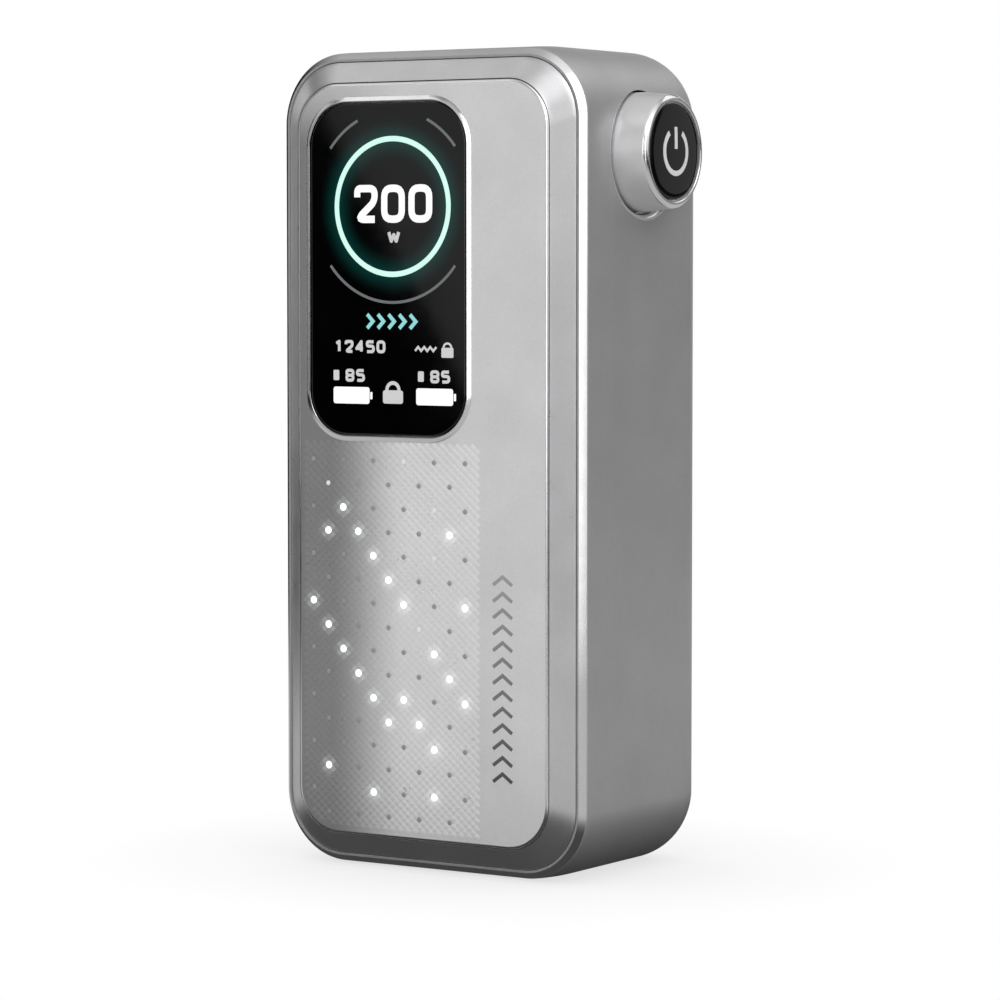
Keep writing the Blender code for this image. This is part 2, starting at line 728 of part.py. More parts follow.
def build_keepers(cradle):
    """The steel strips that the cover's magnets pull on, each in its own pocket."""
    for name, half_width, z in KEEPERS:
        front = CRADLE_REAR - KEEPER_DEPTH
        pocket = block(
            f"keeper_pocket_{name}",
            None,
            (-half_width - GAP, front - GAP, z - KEEPER_HALF_HEIGHT - GAP),
            (half_width + GAP, CRADLE_REAR + PAST, z + KEEPER_HALF_HEIGHT + GAP),
        )
        cut(cradle, pocket)
        block(
            f"keeper_plate_{name}",
            "nickel",
            (-half_width, front, z - KEEPER_HALF_HEIGHT),
            (half_width, CRADLE_REAR, z + KEEPER_HALF_HEIGHT),
        )


def build_cell(side, x, positive_up):
    """One cell: a steel can with a crimped neck, a shrink sleeve round it and the raised positive cap."""
    can_top, neck, cap_rise = 63.9 * MM, 62.0 * MM, 1.3 * MM
    can_radius, groove = CELL_RADIUS - 0.3 * MM, 0.35 * MM
    can = [
        (0, can_top),
        (can_radius - 0.9 * MM, can_top),
        (can_radius - 0.2 * MM, can_top - 0.4 * MM),
        (can_radius - 0.2 * MM, neck),
        (can_radius - groove - 0.2 * MM, neck - 0.6 * MM),
        (can_radius, neck - 1.4 * MM),
        (can_radius, 0.5 * MM),
        (can_radius - 0.5 * MM, 0),
        (0, 0),
    ]
    cap = [
        (0, can_top + cap_rise),
        (2.9 * MM, can_top + cap_rise),
        (3.3 * MM, can_top + cap_rise - 0.3 * MM),
        (3.5 * MM, can_top + 0.45 * MM),
        (6.2 * MM, can_top + 0.4 * MM),
        (6.2 * MM, can_top + FINE_GAP),
        (0, can_top + FINE_GAP),
    ]
    sleeve = [
        (can_radius + FINE_GAP, neck - 1.8 * MM),
        (CELL_RADIUS, neck - 1.8 * MM),
        (CELL_RADIUS, 0.7 * MM),
        (can_radius + FINE_GAP, 0.7 * MM),
    ]
    for name, paint, profile, closed in (
        ("can", "nickel", can, False),
        ("cap", "nickel", cap, False),
        ("sleeve", "cell_wrap", sleeve, True),
    ):
        place = (x, CELL_Y, CELL_BOTTOM)
        piece = turned(f"cell_{side}_{name}", paint, profile, place, closed=closed)
        if not positive_up:
            piece.location.z = CELL_TOP
            piece.rotation_euler = (math.pi, 0, 0)


def build_contacts():
    tip_radius, stem_radius, flange_radius = 1.2 * MM, 1.0 * MM, 2.0 * MM
    flange_top, flange_low, stem_top = 75.7 * MM, 74.9 * MM, 77.6 * MM
    plunger = [
        (0, stem_top),
        (stem_radius, stem_top),
        (stem_radius, flange_top),
        (flange_radius, flange_top),
        (flange_radius, flange_low),
        (tip_radius, flange_low - 1.0 * MM),
        (0, CELL_TOP + GAP),
    ]
    spring_low, spring_high = flange_top + FINE_GAP, PLUNGER_WELL_TOP - FINE_GAP
    for side, x in (("left", -CELL_X), ("right", CELL_X)):
        turned(f"contact_plunger_{side}", "gold", plunger, (x, CELL_Y, 0), steps=16)
        centre = (x, CELL_Y)
        coil(f"contact_spring_{side}", "Z", centre, 1.55 * MM, 0.15 * MM, spring_low, spring_high, 2.5)
    half_width, half_depth, top = 13.5 * MM, 3.5 * MM, BAY_BOTTOM + 0.7 * MM
    bridge = block(
        "bridge_plate",
        "nickel",
        (-half_width, CELL_Y - half_depth, BAY_BOTTOM + GAP),
        (half_width, CELL_Y + half_depth, top),
        2.0 * MM,
        "Z",
        segments=3,
    )
    for side, x in (("left", -CELL_X), ("right", CELL_X)):
        dimple = rod(
            f"bridge_dimple_{side}",
            None,
            1.9 * MM,
            (x, CELL_Y, top - 0.2 * MM),
            (x, CELL_Y, CELL_BOTTOM - GAP),
            sides=16,
            end_radius=1.2 * MM,
        )
        join(bridge, dimple)


def build_rear_cover():
    cover_size = (TUNNEL_WIDTH - 2 * COVER_GAP, TUNNEL_HEIGHT - 2 * COVER_GAP)
    corner = TUNNEL_CORNER - COVER_GAP
    cover = swept("rear_cover", "housing_metal", cover_size, corner, COVER_FRONT, REAR + PAST, segments=6)
    boolean(cover, "INTERSECT", [housing_block("cover_envelope", None)])
    rim = 1.5 * MM
    hollow = block(
        "cover_hollow",
        None,
        (-cover_size[0] / 2 + rim, COVER_FRONT - PAST, 8.0 * MM),
        (cover_size[0] / 2 - rim, REAR - COVER_THICKNESS, 85.0 * MM),
        1.0 * MM,
        segments=2,
    )
    cut(cover, hollow, finger_notch("cover_notch"))
    low = COVER_FRONT + FINE_GAP
    high = low + MAGNET_THICKNESS
    for name, (x, z) in MAGNETS.items():
        room = MAGNET_RADIUS + GAP
        cut(cover, rod_y(f"magnet_pocket_{name}", None, room, x, z, COVER_FRONT - PAST, high + GAP, sides=16))
        rod_y(f"cover_magnet_{name}", "nickel", MAGNET_RADIUS, x, z, low, high, sides=16)
    for i in range(COVER_VENTS):
        x = (i - (COVER_VENTS - 1) / 2) * COVER_VENT_PITCH
        end = REAR + PAST
        cut(cover, rod_y(f"cover_vent_{i + 1}", None, COVER_VENT_RADIUS, x, COVER_VENT_Z, 0, end, sides=10))


def build_screws():
    head = SCREW_SEAT + SCREW_HEAD_HEIGHT
    profile = [
        (0, head),
        (SCREW_HEAD_RADIUS, head),
        (SCREW_HEAD_RADIUS, SCREW_SEAT),
        (SCREW_RADIUS, SCREW_SEAT),
        (SCREW_RADIUS, SCREW_TIP),
        (0, SCREW_TIP),
    ]
    for name, (x, z) in POSTS.items():
        screw = turned(f"frame_screw_{name}", "steel", profile, (x, 0, z), steps=12)
        screw.rotation_euler = (-math.pi / 2, 0, 0)
        floor = head - SCREW_RECESS_DEPTH
        recess = rod_y(f"screw_recess_{name}", None, SCREW_RECESS_RADIUS, x, z, floor, head + PAST, sides=6)
        cut(screw, recess)


def flat_side(name, distance, start, end):
    """A cutter that takes the flat off a D-shaped shaft or bore at a distance above the knob's axis."""
    return block(
        name,
        None,
        (start, KNOB_Y - PAST, KNOB_Z + distance),
        (end, KNOB_Y + PAST, KNOB_Z + PAST),
    )


def build_barrel(place):
    """The turned knob and its black inlay. The barrel is hollow behind, round a boss that takes the shaft."""
    face, floor, base = KNOB_FACE, KNOB_FACE - KNOB_DISH_DEPTH, KNOB_BASE
    skirt_radius, boss_radius, bore_radius = 5.5 * MM, 3.4 * MM, SHAFT_RADIUS + GAP
    skirt_end, bore_end, boss_end = 23.2 * MM, 23.0 * MM, KNOB_BASE + GAP
    edge = 0.4 * MM
    barrel = [
        (0, floor),
        (KNOB_DISH_RADIUS, floor),
        (KNOB_DISH_RADIUS, face),
        (KNOB_DISH_RADIUS + 0.35 * MM, face),
        (KNOB_RADIUS - 0.35 * MM, face - edge),
        (KNOB_RADIUS, WIDTH / 2 + edge),
        (KNOB_RADIUS, base),
        (skirt_radius, base),
        (skirt_radius, skirt_end),
        (boss_radius, skirt_end),
        (boss_radius, boss_end),
        (bore_radius, boss_end),
        (bore_radius, bore_end),
        (0, bore_end),
    ]
    turned("knob_barrel", "frame_metal", barrel, place, along_x=True, steps=40)
    inlay_radius, dome = 5.5 * MM, 0.1 * MM
    inlay = [
        (0, face + dome),
        (3.5 * MM, face + dome / 2),
        (5.1 * MM, face - dome / 2),
        (inlay_radius, face - 0.15 * MM),
        (inlay_radius, floor + GAP),
        (0, floor + GAP),
    ]
    turned("knob_inlay", "inlay_black", inlay, place, along_x=True, steps=40)


def ring_profile(inner, outer, high, low):
    """A rectangle for a ring, from its inner and outer radius and its two ends."""
    return [(inner, high), (outer, high), (outer, low), (inner, low)]


def build_shaft(place):
    """The D-shaped shaft with a groove for its clip, the thrust washer, the return spring and the bush."""
    groove_radius, groove_high, groove_low = 1.4 * MM, 15.5 * MM, 14.8 * MM
    tip = 22.7 * MM
    shaft = [
        (0, tip),
        (SHAFT_RADIUS, tip),
        (SHAFT_RADIUS, groove_high),
        (groove_radius, groove_high),
        (groove_radius, groove_low),
        (SHAFT_RADIUS, groove_low),
        (SHAFT_RADIUS, SHAFT_END),
        (0, SHAFT_END),
    ]
    shaft_piece = turned("knob_shaft", "steel", shaft, place, along_x=True)
    cut(shaft_piece, flat_side("shaft_flat", FLAT_HEIGHT, SHAFT_END - PAST, groove_low - 0.4 * MM))
    clip = ring_profile(groove_radius + 0.2 * MM, 3.2 * MM, groove_high - FINE_GAP, groove_low + FINE_GAP)
    clip_ring = turned("shaft_clip", "steel", clip, place, along_x=True, closed=True)
    half_mouth, past_clip = 0.9 * MM, 0.8 * MM
    clip_mouth = block(
        "clip_mouth",
        None,
        (groove_low - past_clip, KNOB_Y - half_mouth, KNOB_Z - PAST),
        (groove_high + past_clip, KNOB_Y + half_mouth, KNOB_Z),
    )
    cut(clip_ring, clip_mouth)
    boss_radius, washer_high, washer_low = 3.4 * MM, 19.9 * MM, 19.5 * MM
    washer = ring_profile(SHAFT_RADIUS + GAP, boss_radius, washer_high, washer_low)
    turned("thrust_washer", "steel", washer, place, along_x=True, closed=True)
    centre = (KNOB_Y, KNOB_Z)
    coil("knob_spring", "X", centre, 2.85 * MM, 0.2 * MM, 17.0 * MM, washer_low - FINE_GAP, 3)
    well_radius, flange_radius, body_radius, bore_radius = 3.7 * MM, 8.6 * MM, 4.6 * MM, SHAFT_RADIUS + GAP
    flange_high, flange_low, well_floor, body_low = 18.7 * MM, 17.8 * MM, 16.9 * MM, 15.6 * MM
    bush = [
        (well_radius, flange_high),
        (flange_radius, flange_high),
        (flange_radius, flange_low),
        (body_radius, flange_low),
        (body_radius, body_low),
        (bore_radius, body_low),
        (bore_radius, well_floor),
        (well_radius, well_floor),
    ]
    bush_piece = turned("knob_bush", "gold", bush, place, along_x=True, closed=True)
    half_relief = 10.0 * MM
    corner_relief = block(
        "bush_corner_relief",
        None,
        (body_low - GAP, KNOB_Y - half_relief, BUSH_RELIEF_Z),
        (flange_high + GAP, KNOB_Y + half_relief, HEIGHT),
    )
    cut(bush_piece, corner_relief)


def build_encoder():
    """The encoder that reads the knob's turn, the switch that its press works, and the board behind them."""
    front, back, wall = 14.2 * MM, 10.4 * MM, 0.5 * MM
    rotor_radius, room = 3.7 * MM, 0.3 * MM
    encoder = knob_block("encoder_body", "black_plastic", back, front, ENCODER_HALF, 0.8 * MM)
    bore_radius = SHAFT_RADIUS + wall
    cut(encoder, knob_rod("encoder_bore", None, bore_radius, back - PAST / 2, front + PAST / 2, sides=20))
    cut(encoder, knob_rod("rotor_room", None, rotor_radius + room, back + wall, front - wall))
    rotor = knob_rod("encoder_rotor", "insulator", rotor_radius, back + wall + room, front - wall - room)
    bore = knob_rod("rotor_bore", None, SHAFT_RADIUS + room, back - GAP, front + GAP)
    cut(bore, flat_side("rotor_flat", FLAT_HEIGHT + room, back - PAST, front + PAST))
    cut(rotor, bore)
    switch_back, switch_front, well_floor = 6.5 * MM, 9.0 * MM, 7.4 * MM
    switch = knob_block("press_switch", "steel", switch_back, switch_front, 3.0 * MM, 0.4 * MM)
    button_radius, button_low = 1.5 * MM, 8.2 * MM
    well_radius, well_end = button_radius + room, switch_front + PAST
    cut(switch, knob_rod("switch_well", None, well_radius, well_floor, well_end, sides=16))
    knob_rod("switch_button", "black_plastic", button_radius, button_low, SHAFT_END - GAP, sides=16)
    board_back, board_front = 5.2 * MM, 6.2 * MM
    knob_block("knob_board", "board_green", board_back, board_front, ENCODER_HALF, 0.6 * MM)


def build_knob():
    place = (0, KNOB_Y, KNOB_Z)
    build_barrel(place)
    build_shaft(place)
    build_encoder()


def build_connector():
    """The top output connector: a flanged tube, its insulator and sprung pin, the seal and the nut."""
    place = (0, CONNECTOR_Y, 0)
    top, foot, shelf = HEIGHT - 0.1 * MM, 85.6 * MM, 89.6 * MM
    flange, neck, bore, mouth = 8.4 * MM, CONNECTOR_NECK_HOLE - GAP, 3.0 * MM, 3.5 * MM
    flange_low = top - 0.7 * MM
    body = [
        (mouth, top),
        (flange - 0.3 * MM, top),
        (flange, top - 0.3 * MM),
        (flange, flange_low),
        (neck, flange_low),
        (neck, foot),
        (bore, foot),
        (bore, shelf),
        (mouth, shelf),
    ]
    turned("connector_body", "steel", body, place, closed=True, steps=32)
    pin_radius, head_radius, pin_top, pin_foot = 1.0 * MM, 1.7 * MM, 91.0 * MM, 84.0 * MM
    sleeve_top, sleeve_low, sleeve_step = shelf - GAP, foot + 0.2 * MM, 87.2 * MM
    wide, outside, narrow = 1.95 * MM, bore - GAP, pin_radius + GAP
    insulator = [
        (wide, sleeve_top),
        (outside, sleeve_top),
        (outside, sleeve_low),
        (narrow, sleeve_low),
        (narrow, sleeve_step),
        (wide, sleeve_step),
    ]
    turned("connector_insulator", "insulator", insulator, place, closed=True, steps=16)
    pin = [
        (0, pin_top),
        (head_radius - GAP, pin_top),
        (head_radius, pin_top - GAP),
        (head_radius, shelf),
        (pin_radius, shelf),
        (pin_radius, pin_foot),
        (0, pin_foot),
    ]
    turned("connector_pin", "gold", pin, place, steps=16)
    centre = (0, CONNECTOR_Y)
    low, high = sleeve_step + FINE_GAP, shelf - FINE_GAP
    coil("connector_spring", "Z", centre, 1.45 * MM, 0.15 * MM, low, high, 3.5)
    seal = ring_profile(CONNECTOR_NECK_HOLE, 6.2 * MM, 92.95 * MM, 92.55 * MM)
    turned("connector_seal", "seal_rubber", seal, place, closed=True, steps=16)
    nut_low, nut_high = 89.9 * MM, 92.25 * MM
    nut = rod("connector_nut", "steel", 6.6 * MM, (*centre, nut_low), (*centre, nut_high), sides=6)
    past_nut = nut_low - PAST, nut_high + PAST
    cut(nut, rod("nut_bore", None, CONNECTOR_NECK_HOLE, *((*centre, z) for z in past_nut)))


def build_leads():
    wire = 0.6 * MM
    start = DECK + GAP + wire
    board = BOARD_BACK + GAP + wire
    positive = [
        (-CELL_X, CELL_Y, start),
        (-9.8 * MM, 3.0 * MM, 80.5 * MM),
        (-11.5 * MM, -2.0 * MM, 82.5 * MM),
        (-12.5 * MM, -6.5 * MM, 84.0 * MM),
        (-12.5 * MM, board, 87.0 * MM),
    ]
    negative = [
        (CELL_X, CELL_Y + 0.6 * MM, start),
        (8.6 * MM, 7.0 * MM, 79.6 * MM),
        (2.0 * MM, 7.4 * MM, 80.8 * MM),
        (-5.0 * MM, 4.5 * MM, 82.0 * MM),
        (-7.5 * MM, -4.5 * MM, 83.5 * MM),
        (-7.5 * MM, board, 87.0 * MM),
    ]
    tube("positive_lead", "red_wire", positive, wire)
    tube("negative_lead", "black_wire", negative, wire)


clear_scene()
PIECES = new_collection("power_bank")
CUTTERS = new_collection("cutters")
build_housing()
build_front_frame()
build_front_plate()
build_display()
build_light_panel()
build_main_board()
build_usb_socket()
build_cradle()
build_cell("left", -CELL_X, positive_up=True)
build_cell("right", CELL_X, positive_up=False)
build_contacts()
build_rear_cover()
build_screws()
build_knob()
build_connector()
build_leads()
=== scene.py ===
"""Looks for the twin-cell power bank: fine outer pieces, materials, studio and camera."""

import json
import math

import bmesh
import bpy
import numpy as np
from mathutils import Matrix, Vector


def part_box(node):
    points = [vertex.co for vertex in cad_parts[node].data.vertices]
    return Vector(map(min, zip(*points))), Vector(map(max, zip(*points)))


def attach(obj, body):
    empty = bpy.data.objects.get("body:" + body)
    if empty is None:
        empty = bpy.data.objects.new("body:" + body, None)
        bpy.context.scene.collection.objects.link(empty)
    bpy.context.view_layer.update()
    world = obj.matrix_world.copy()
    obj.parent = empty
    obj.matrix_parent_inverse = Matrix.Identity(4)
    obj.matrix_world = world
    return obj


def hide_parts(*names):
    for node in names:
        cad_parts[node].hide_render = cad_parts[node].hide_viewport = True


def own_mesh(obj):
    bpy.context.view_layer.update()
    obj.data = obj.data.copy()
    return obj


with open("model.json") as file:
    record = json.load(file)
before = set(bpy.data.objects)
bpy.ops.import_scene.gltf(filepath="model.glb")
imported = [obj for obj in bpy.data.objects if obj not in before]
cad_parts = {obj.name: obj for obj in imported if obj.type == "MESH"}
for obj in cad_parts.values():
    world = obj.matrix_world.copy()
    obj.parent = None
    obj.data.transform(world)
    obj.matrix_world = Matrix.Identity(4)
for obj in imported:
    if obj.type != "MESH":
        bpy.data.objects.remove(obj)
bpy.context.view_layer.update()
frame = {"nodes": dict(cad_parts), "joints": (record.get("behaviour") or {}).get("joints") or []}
MM = 0.001

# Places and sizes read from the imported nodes
SHELL_LOW, SHELL_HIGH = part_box("body_shell")
BAND_LOW, BAND_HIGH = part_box("front_frame")
PLATE_LOW, PLATE_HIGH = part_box("front_plate")
LENS_LOW, LENS_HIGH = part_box("screen_lens")
KNOB_LOW, KNOB_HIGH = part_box("knob_barrel")
INLAY_LOW, INLAY_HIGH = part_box("knob_inlay")
COVER_LOW, COVER_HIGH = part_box("rear_cover")
FLANGE_LOW, FLANGE_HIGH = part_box("connector_body")
USB_LOW, USB_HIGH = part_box("usb_socket")
MAIN_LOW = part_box("main_board")[0]
KNOB_CENTRE = (0, (KNOB_LOW.y + KNOB_HIGH.y) / 2, (KNOB_LOW.z + KNOB_HIGH.z) / 2)
SOCKET_CENTRE = (0, (FLANGE_LOW.y + FLANGE_HIGH.y) / 2, 0)
# The ends of the names of what comes in fours
CORNERS = ("lower_left", "lower_right", "upper_left", "upper_right")

# Housing
CORNER = 8.5 * MM
SHOULDER = 0.3 * MM
SHOULDER_LENGTH = 6.0 * MM
SHOULDER_STEPS = 10
RIM_CHAMFER = 0.75 * MM
EDGE = 0.08 * MM
REAR_FILLET = 6.0 * MM
TUNNEL = (38.0 * MM, 91.0 * MM)
TUNNEL_CORNER = 6.5 * MM
SEAT_DEPTH = 1.6 * MM
SEAM = 0.06 * MM
# How far a cutter reaches past the face that it goes through, and a flared end past its rim
PAST = 4.0 * MM
OVER = 1.0 * MM
# Room left round a piece behind a visible one
ROOM = 0.3 * MM
SLOT_LIP = 0.15 * MM
USB_SLOT = (3.8 * MM, 9.6 * MM)
USB_CORNER = 1.8 * MM
VENT = (1.6 * MM, 7.0 * MM)
VENT_CORNER = 0.79 * MM
VENT_PITCH = 4.4 * MM
VENT_COUNT = 4
DECK_RADIUS = 8.7 * MM
DECK_BORE = 4.9 * MM
DECK_DEPTH = 1.1 * MM
DECK_LIP = 0.15 * MM
KNOB_HOLE = 7.1 * MM
KNOB_FLARE = 0.75 * MM

# Rear cover
COVER_WALL = 1.5 * MM
HOLLOW_HEIGHT = 77.0 * MM
HOLLOW_Z = 46.5 * MM
HOLLOW_CORNER = 1.0 * MM
HOLE_COUNT = 5
HOLE_PITCH = 3.2 * MM
HOLE_Z = 12 * MM
HOLE_RADIUS = 0.7 * MM
HOLE_LIP = 0.12 * MM

# Front band and plate
BAND_DEPTH = 1.3 * MM
OPENING_CORNER = 1.2 * MM
PLATE_CORNER = 5.5 * MM
PLATE_FILLET = 0.35 * MM
BEZEL_WIDTH = 0.6 * MM
BEZEL_RISE = 0.18 * MM
BEZEL_SEAT = 0.2 * MM
BEZEL_FIT = 0.01 * MM
POCKET_GAP = 0.05 * MM
PLATE_LEDGE = 1.5 * MM
SCREEN_CORNER = 5.0 * MM
LENS_FIT = 0.15 * MM
WINDOW_LEDGE = 0.85 * MM

# Diamond studs and light dots on the plate
STUD_PITCH_X = 1.065 * MM
STUD_PITCH_Z = 0.922 * MM
STUD_HEIGHT = 0.045 * MM
ZONE_MARGIN = 0.9 * MM
ZONE_RIGHT = 7.75 * MM
DOT_FIRST_X = -15.19 * MM
DOT_FIRST_Z = 47.88 * MM
DOT_COLUMNS = 11
DOT_ROWS = 16
DOT_RADIUS = 0.34 * MM
# Painted light: how far and how brightly the lit dots' light is painted onto the studs round them
PAINTED_SPILL_REACH = 0.75 * MM
PAINTED_SPILL_STRENGTH = 0.3
LIT_DOTS = (
    (2, 2), (1, 3), (3, 3), (9, 3), (4, 4), (5, 5), (0, 6), (6, 6), (10, 6), (1, 7), (2, 8), (8, 8),
    (3, 9), (9, 9), (4, 10), (10, 10), (5, 11), (8, 12), (1, 13), (4, 14), (8, 14), (6, 10), (7, 11),
)
FAINT_DOTS = ((1, 1), (6, 0), (8, 2), (8, 4), (7, 7))

SEGMENTS_ROUND = 96
CORNER_STEPS = 20
SAME_PLACE = 1e-7
# Angles in degrees: from here on an edge is shaded sharp, and gets a bevel
SHARP_ANGLE = 28
BEVEL_ANGLE = 35


# ---------------------------------------------------------------- materials


class Nodes:
    """Adds nodes to a shader tree and joins them up."""

    def __init__(self, tree):
        self.tree = tree

    def link(self, value, socket):
        if isinstance(value, bpy.types.NodeSocket):
            self.tree.links.new(value, socket)
        elif value is not None:
            socket.default_value = value

    def add(self, kind, *values, output=0, named=None, **settings):
        """A new node's output. Values fill its inputs in order, and None leaves one as it is."""
        node = self.tree.nodes.new("ShaderNode" + kind)
        for name, value in settings.items():
            setattr(node, name, value)
        for value, socket in zip(values, node.inputs):
            self.link(value, socket)
        for name, value in (named or {}).items():
            self.link(value, node.inputs[name])
        return node.outputs[output] if node.outputs else None

    def maths(self, operation, a, b=0.0, clamp=False):
        return self.add("Math", a, b, operation=operation, use_clamp=clamp)

    def vector(self, operation, a, b=None, scale=None, output=0):
        return self.add("VectorMath", a, b, None, scale, operation=operation, output=output)

    def remap(self, value, low, high, to_low=0.0, to_high=1.0, smooth=False):
        kind = "SMOOTHSTEP" if smooth else "LINEAR"
        return self.add("MapRange", value, low, high, to_low, to_high, interpolation_type=kind)


class Shader(Nodes):
    """A Principled material being put together from nodes."""

    def __init__(self, name):
        self.material = bpy.data.materials.new(name)
        self.material.use_nodes = True
        super().__init__(self.material.node_tree)
        self.bsdf = self.tree.nodes["Principled BSDF"]
        self.place = self.vector("SCALE", self.add("TexCoord", output="Object"), scale=1 / MM)

    def grey(self, value):
        """A colour with the same value in each channel."""
        return self.add("CombineColor", value, value, value)

    def noise(self, size, detail=2.0, roughness=0.5, stretch=None):
        """Noise between 0 and 1 with features of a size in millimetres."""
        place = self.vector("MULTIPLY", self.place, stretch) if stretch else self.place
        inputs = {"Vector": place, "Scale": 1 / size, "Detail": detail, "Roughness": roughness}
        return self.add("TexNoise", named=inputs, output="Fac")

    def cells(self, size):
        """A random grey for each small cell, as metallic flake shows."""
        inputs = {"Vector": self.place, "Scale": 1 / size}
        return self.add("SeparateColor", self.add("TexVoronoi", named=inputs, output="Color"))

    def mix(self, factor, a, b, blend="MIX"):
        inputs = {"Factor": factor, "A": self.colour(a), "B": self.colour(b)}
        settings = {"data_type": "RGBA", "blend_type": blend, "clamp_factor": True}
        return self.add("Mix", named=inputs, output="Result", **settings)

    def colour(self, value):
        return (*value, 1.0) if isinstance(value, tuple) and len(value) == 3 else value

    def axis(self, name):
        return self.add("SeparateXYZ", self.place, output=name)

    def wear(self, amount):
        """Near 1 on convex edges, broken up by noise, for edges rubbed bright."""
        edge = self.remap(self.add("NewGeometry", output="Pointiness"), 0.52, 0.60)
        broken = self.remap(self.noise(1.7, 4), 0.35, 0.65)
        return self.maths("MULTIPLY", self.maths("MULTIPLY", edge, broken), amount, clamp=True)

    def bump(self, height, distance):
        return self.add("Bump", named={"Strength": 1.0, "Distance": distance, "Height": height})

    def base(self):
        return self.bsdf.inputs["Base Color"].links[0].from_socket

    def set(self, **sockets):
        for name, value in sockets.items():
            self.link(self.colour(value), self.bsdf.inputs[name.replace("_", " ")])


def scaled(colour, factor):
    return tuple(min(1.0, c * factor) for c in colour)


def surface(name, colour, metallic, roughness, flake=0.0, grain=0.15, bump=0.004, wear=0.25, stretch=None):
    """A finish with large and small colour variation, uneven roughness, fine bump and rubbed edges."""
    s = Shader(name)
    cloud = s.noise(9.0, 3)
    fine = s.noise(grain, 2, stretch=stretch)
    base = s.mix(s.remap(cloud, 0.3, 0.7), scaled(colour, 0.96), scaled(colour, 1.04))
    base = s.mix(s.remap(fine, 0.2, 0.8), s.mix(1.0, base, (0.94, 0.94, 0.94), "MULTIPLY"), base)
    if flake:
        shine = s.remap(s.cells(0.06), 0.0, 1.0, 1 - flake, 1 + flake)
        base = s.mix(1.0, base, s.grey(shine), "MULTIPLY")
    edge = s.wear(wear)
    base = s.mix(edge, base, scaled(colour, 1.35))
    rough = s.remap(s.noise(3.5, 4), 0.3, 0.7, roughness * 0.9, roughness * 1.1)
    rough = s.maths("SUBTRACT", rough, s.maths("MULTIPLY", edge, roughness * 0.3))
    s.set(Base_Color=base, Metallic=metallic, Roughness=rough, Normal=s.bump(fine, bump * MM))
    return s


def emitter(name, colour, strength):
    """A lit mark on the screen, slightly uneven like a backlight."""
    s = Shader(name)
    uneven = s.remap(s.noise(2.0, 2), 0.3, 0.7, 0.92, 1.0)
    s.set(
        Base_Color=scaled(colour, 0.2),
        Roughness=s.remap(s.noise(0.5), 0.3, 0.7, 0.25, 0.35),
        Emission_Color=colour,
        Emission_Strength=s.maths("MULTIPLY", uneven, strength),
    )
    return s.material


def coat(*values, **finish):
    return surface(*values, **finish).material


def plate_shader():
    """Satin silver, with painted shade darkening it towards the left over the pattern."""
    s = surface("satin_plate", PLATE_COLOUR, PLATE_METAL, PLATE_ROUGHNESS, flake=0.05, bump=0.002, wear=0.0)
    # Painted shade: the base colour darkens towards the left, with less of it near the top
    across = s.remap(s.axis("X"), SHADE_FROM, SHADE_TO, PLATE_SHADE, 1.0, smooth=True)
    above = s.remap(s.axis("Z"), 84.0, 92.0, 0.0, 0.7, smooth=True)
    painted_shade = s.maths("ADD", s.maths("MULTIPLY", across, s.maths("SUBTRACT", 1.0, above)), above)
    s.set(Base_Color=s.mix(1.0, s.base(), s.grey(painted_shade), "MULTIPLY"))
    return s.material


def lens_shader():
    """Black glass with a faint teal glow round the dial."""
    s = Shader("screen_glass")
    smudge = s.noise(4.0, 5, 0.6)
    offset = s.vector("SUBTRACT", s.place, (DIAL_X / MM, 0, DIAL_Z / MM))
    away = s.vector("LENGTH", s.vector("MULTIPLY", offset, (1, 0, 1)), output="Value")
    from_ring = s.maths("ABSOLUTE", s.maths("SUBTRACT", away, DIAL_RADIUS / MM))
    glow = s.maths("POWER", s.remap(from_ring, 0.0, 3.2, 1.0, 0.0, smooth=True), 2.0)
    s.set(
        Base_Color=s.mix(smudge, (0.0005, 0.0005, 0.0006), (0.0014, 0.0014, 0.0016)),
        Roughness=s.remap(smudge, 0.35, 0.7, 0.035, 0.07),
        Emission_Color=GLOW_TEAL,
        Emission_Strength=s.maths("MULTIPLY", glow, GLOW_STRENGTH),
        Normal=s.bump(s.noise(6.0), 0.002 * MM),
        IOR=1.5,
    )
    return s.material


# ---------------------------------------------------------------- mesh helpers


def outline(centre, size, corner, steps=CORNER_STEPS):
    """(x, z) points round a rounded rectangle, starting on the right."""
    x, z = centre
    half_width, half_height = size[0] / 2, size[1] / 2
    points = []
    for quarter, (side_x, side_z) in enumerate(((1, 1), (-1, 1), (-1, -1), (1, -1))):
        middle = (x + side_x * (half_width - corner), z + side_z * (half_height - corner))
        for i in range(steps + 1):
            angle = math.pi / 2 * (quarter + i / steps)
            points.append((middle[0] + corner * math.cos(angle), middle[1] + corner * math.sin(angle)))
    return points


def shade(mesh):
    mesh.shade_smooth()
    mesh.set_sharp_from_angle(angle=math.radians(SHARP_ANGLE))


def new_piece(name, bm, *materials):
    bmesh.ops.remove_doubles(bm, verts=bm.verts, dist=SAME_PLACE)
    bmesh.ops.recalc_face_normals(bm, faces=bm.faces)
    mesh = bpy.data.meshes.new(name)
    bm.to_mesh(mesh)
    bm.free()
    shade(mesh)
    obj = bpy.data.objects.new(name, mesh)
    bpy.context.scene.collection.objects.link(obj)
    for made in materials:
        mesh.materials.append(made)
    return obj


def skin(bm, rows, paints=None, closed=False):
    """Joins rings of vertices with quads. A ring of one vertex is a point, and open ends are capped."""
    count = max(len(row) for row in rows)
    rows = [row * count if len(row) == 1 else row for row in rows]
    for place, row in enumerate(rows if closed else rows[:-1]):
        following = rows[(place + 1) % len(rows)]
        for i in range(count):
            j = (i + 1) % count
            corners = list(dict.fromkeys((row[i], row[j], following[j], following[i])))
            if len(corners) > 2:
                bm.faces.new(corners).material_index = paints[place] if paints else 0
    for row in () if closed else (rows[0], rows[-1]):
        if len(set(row)) > 2:
            bm.faces.new(row)


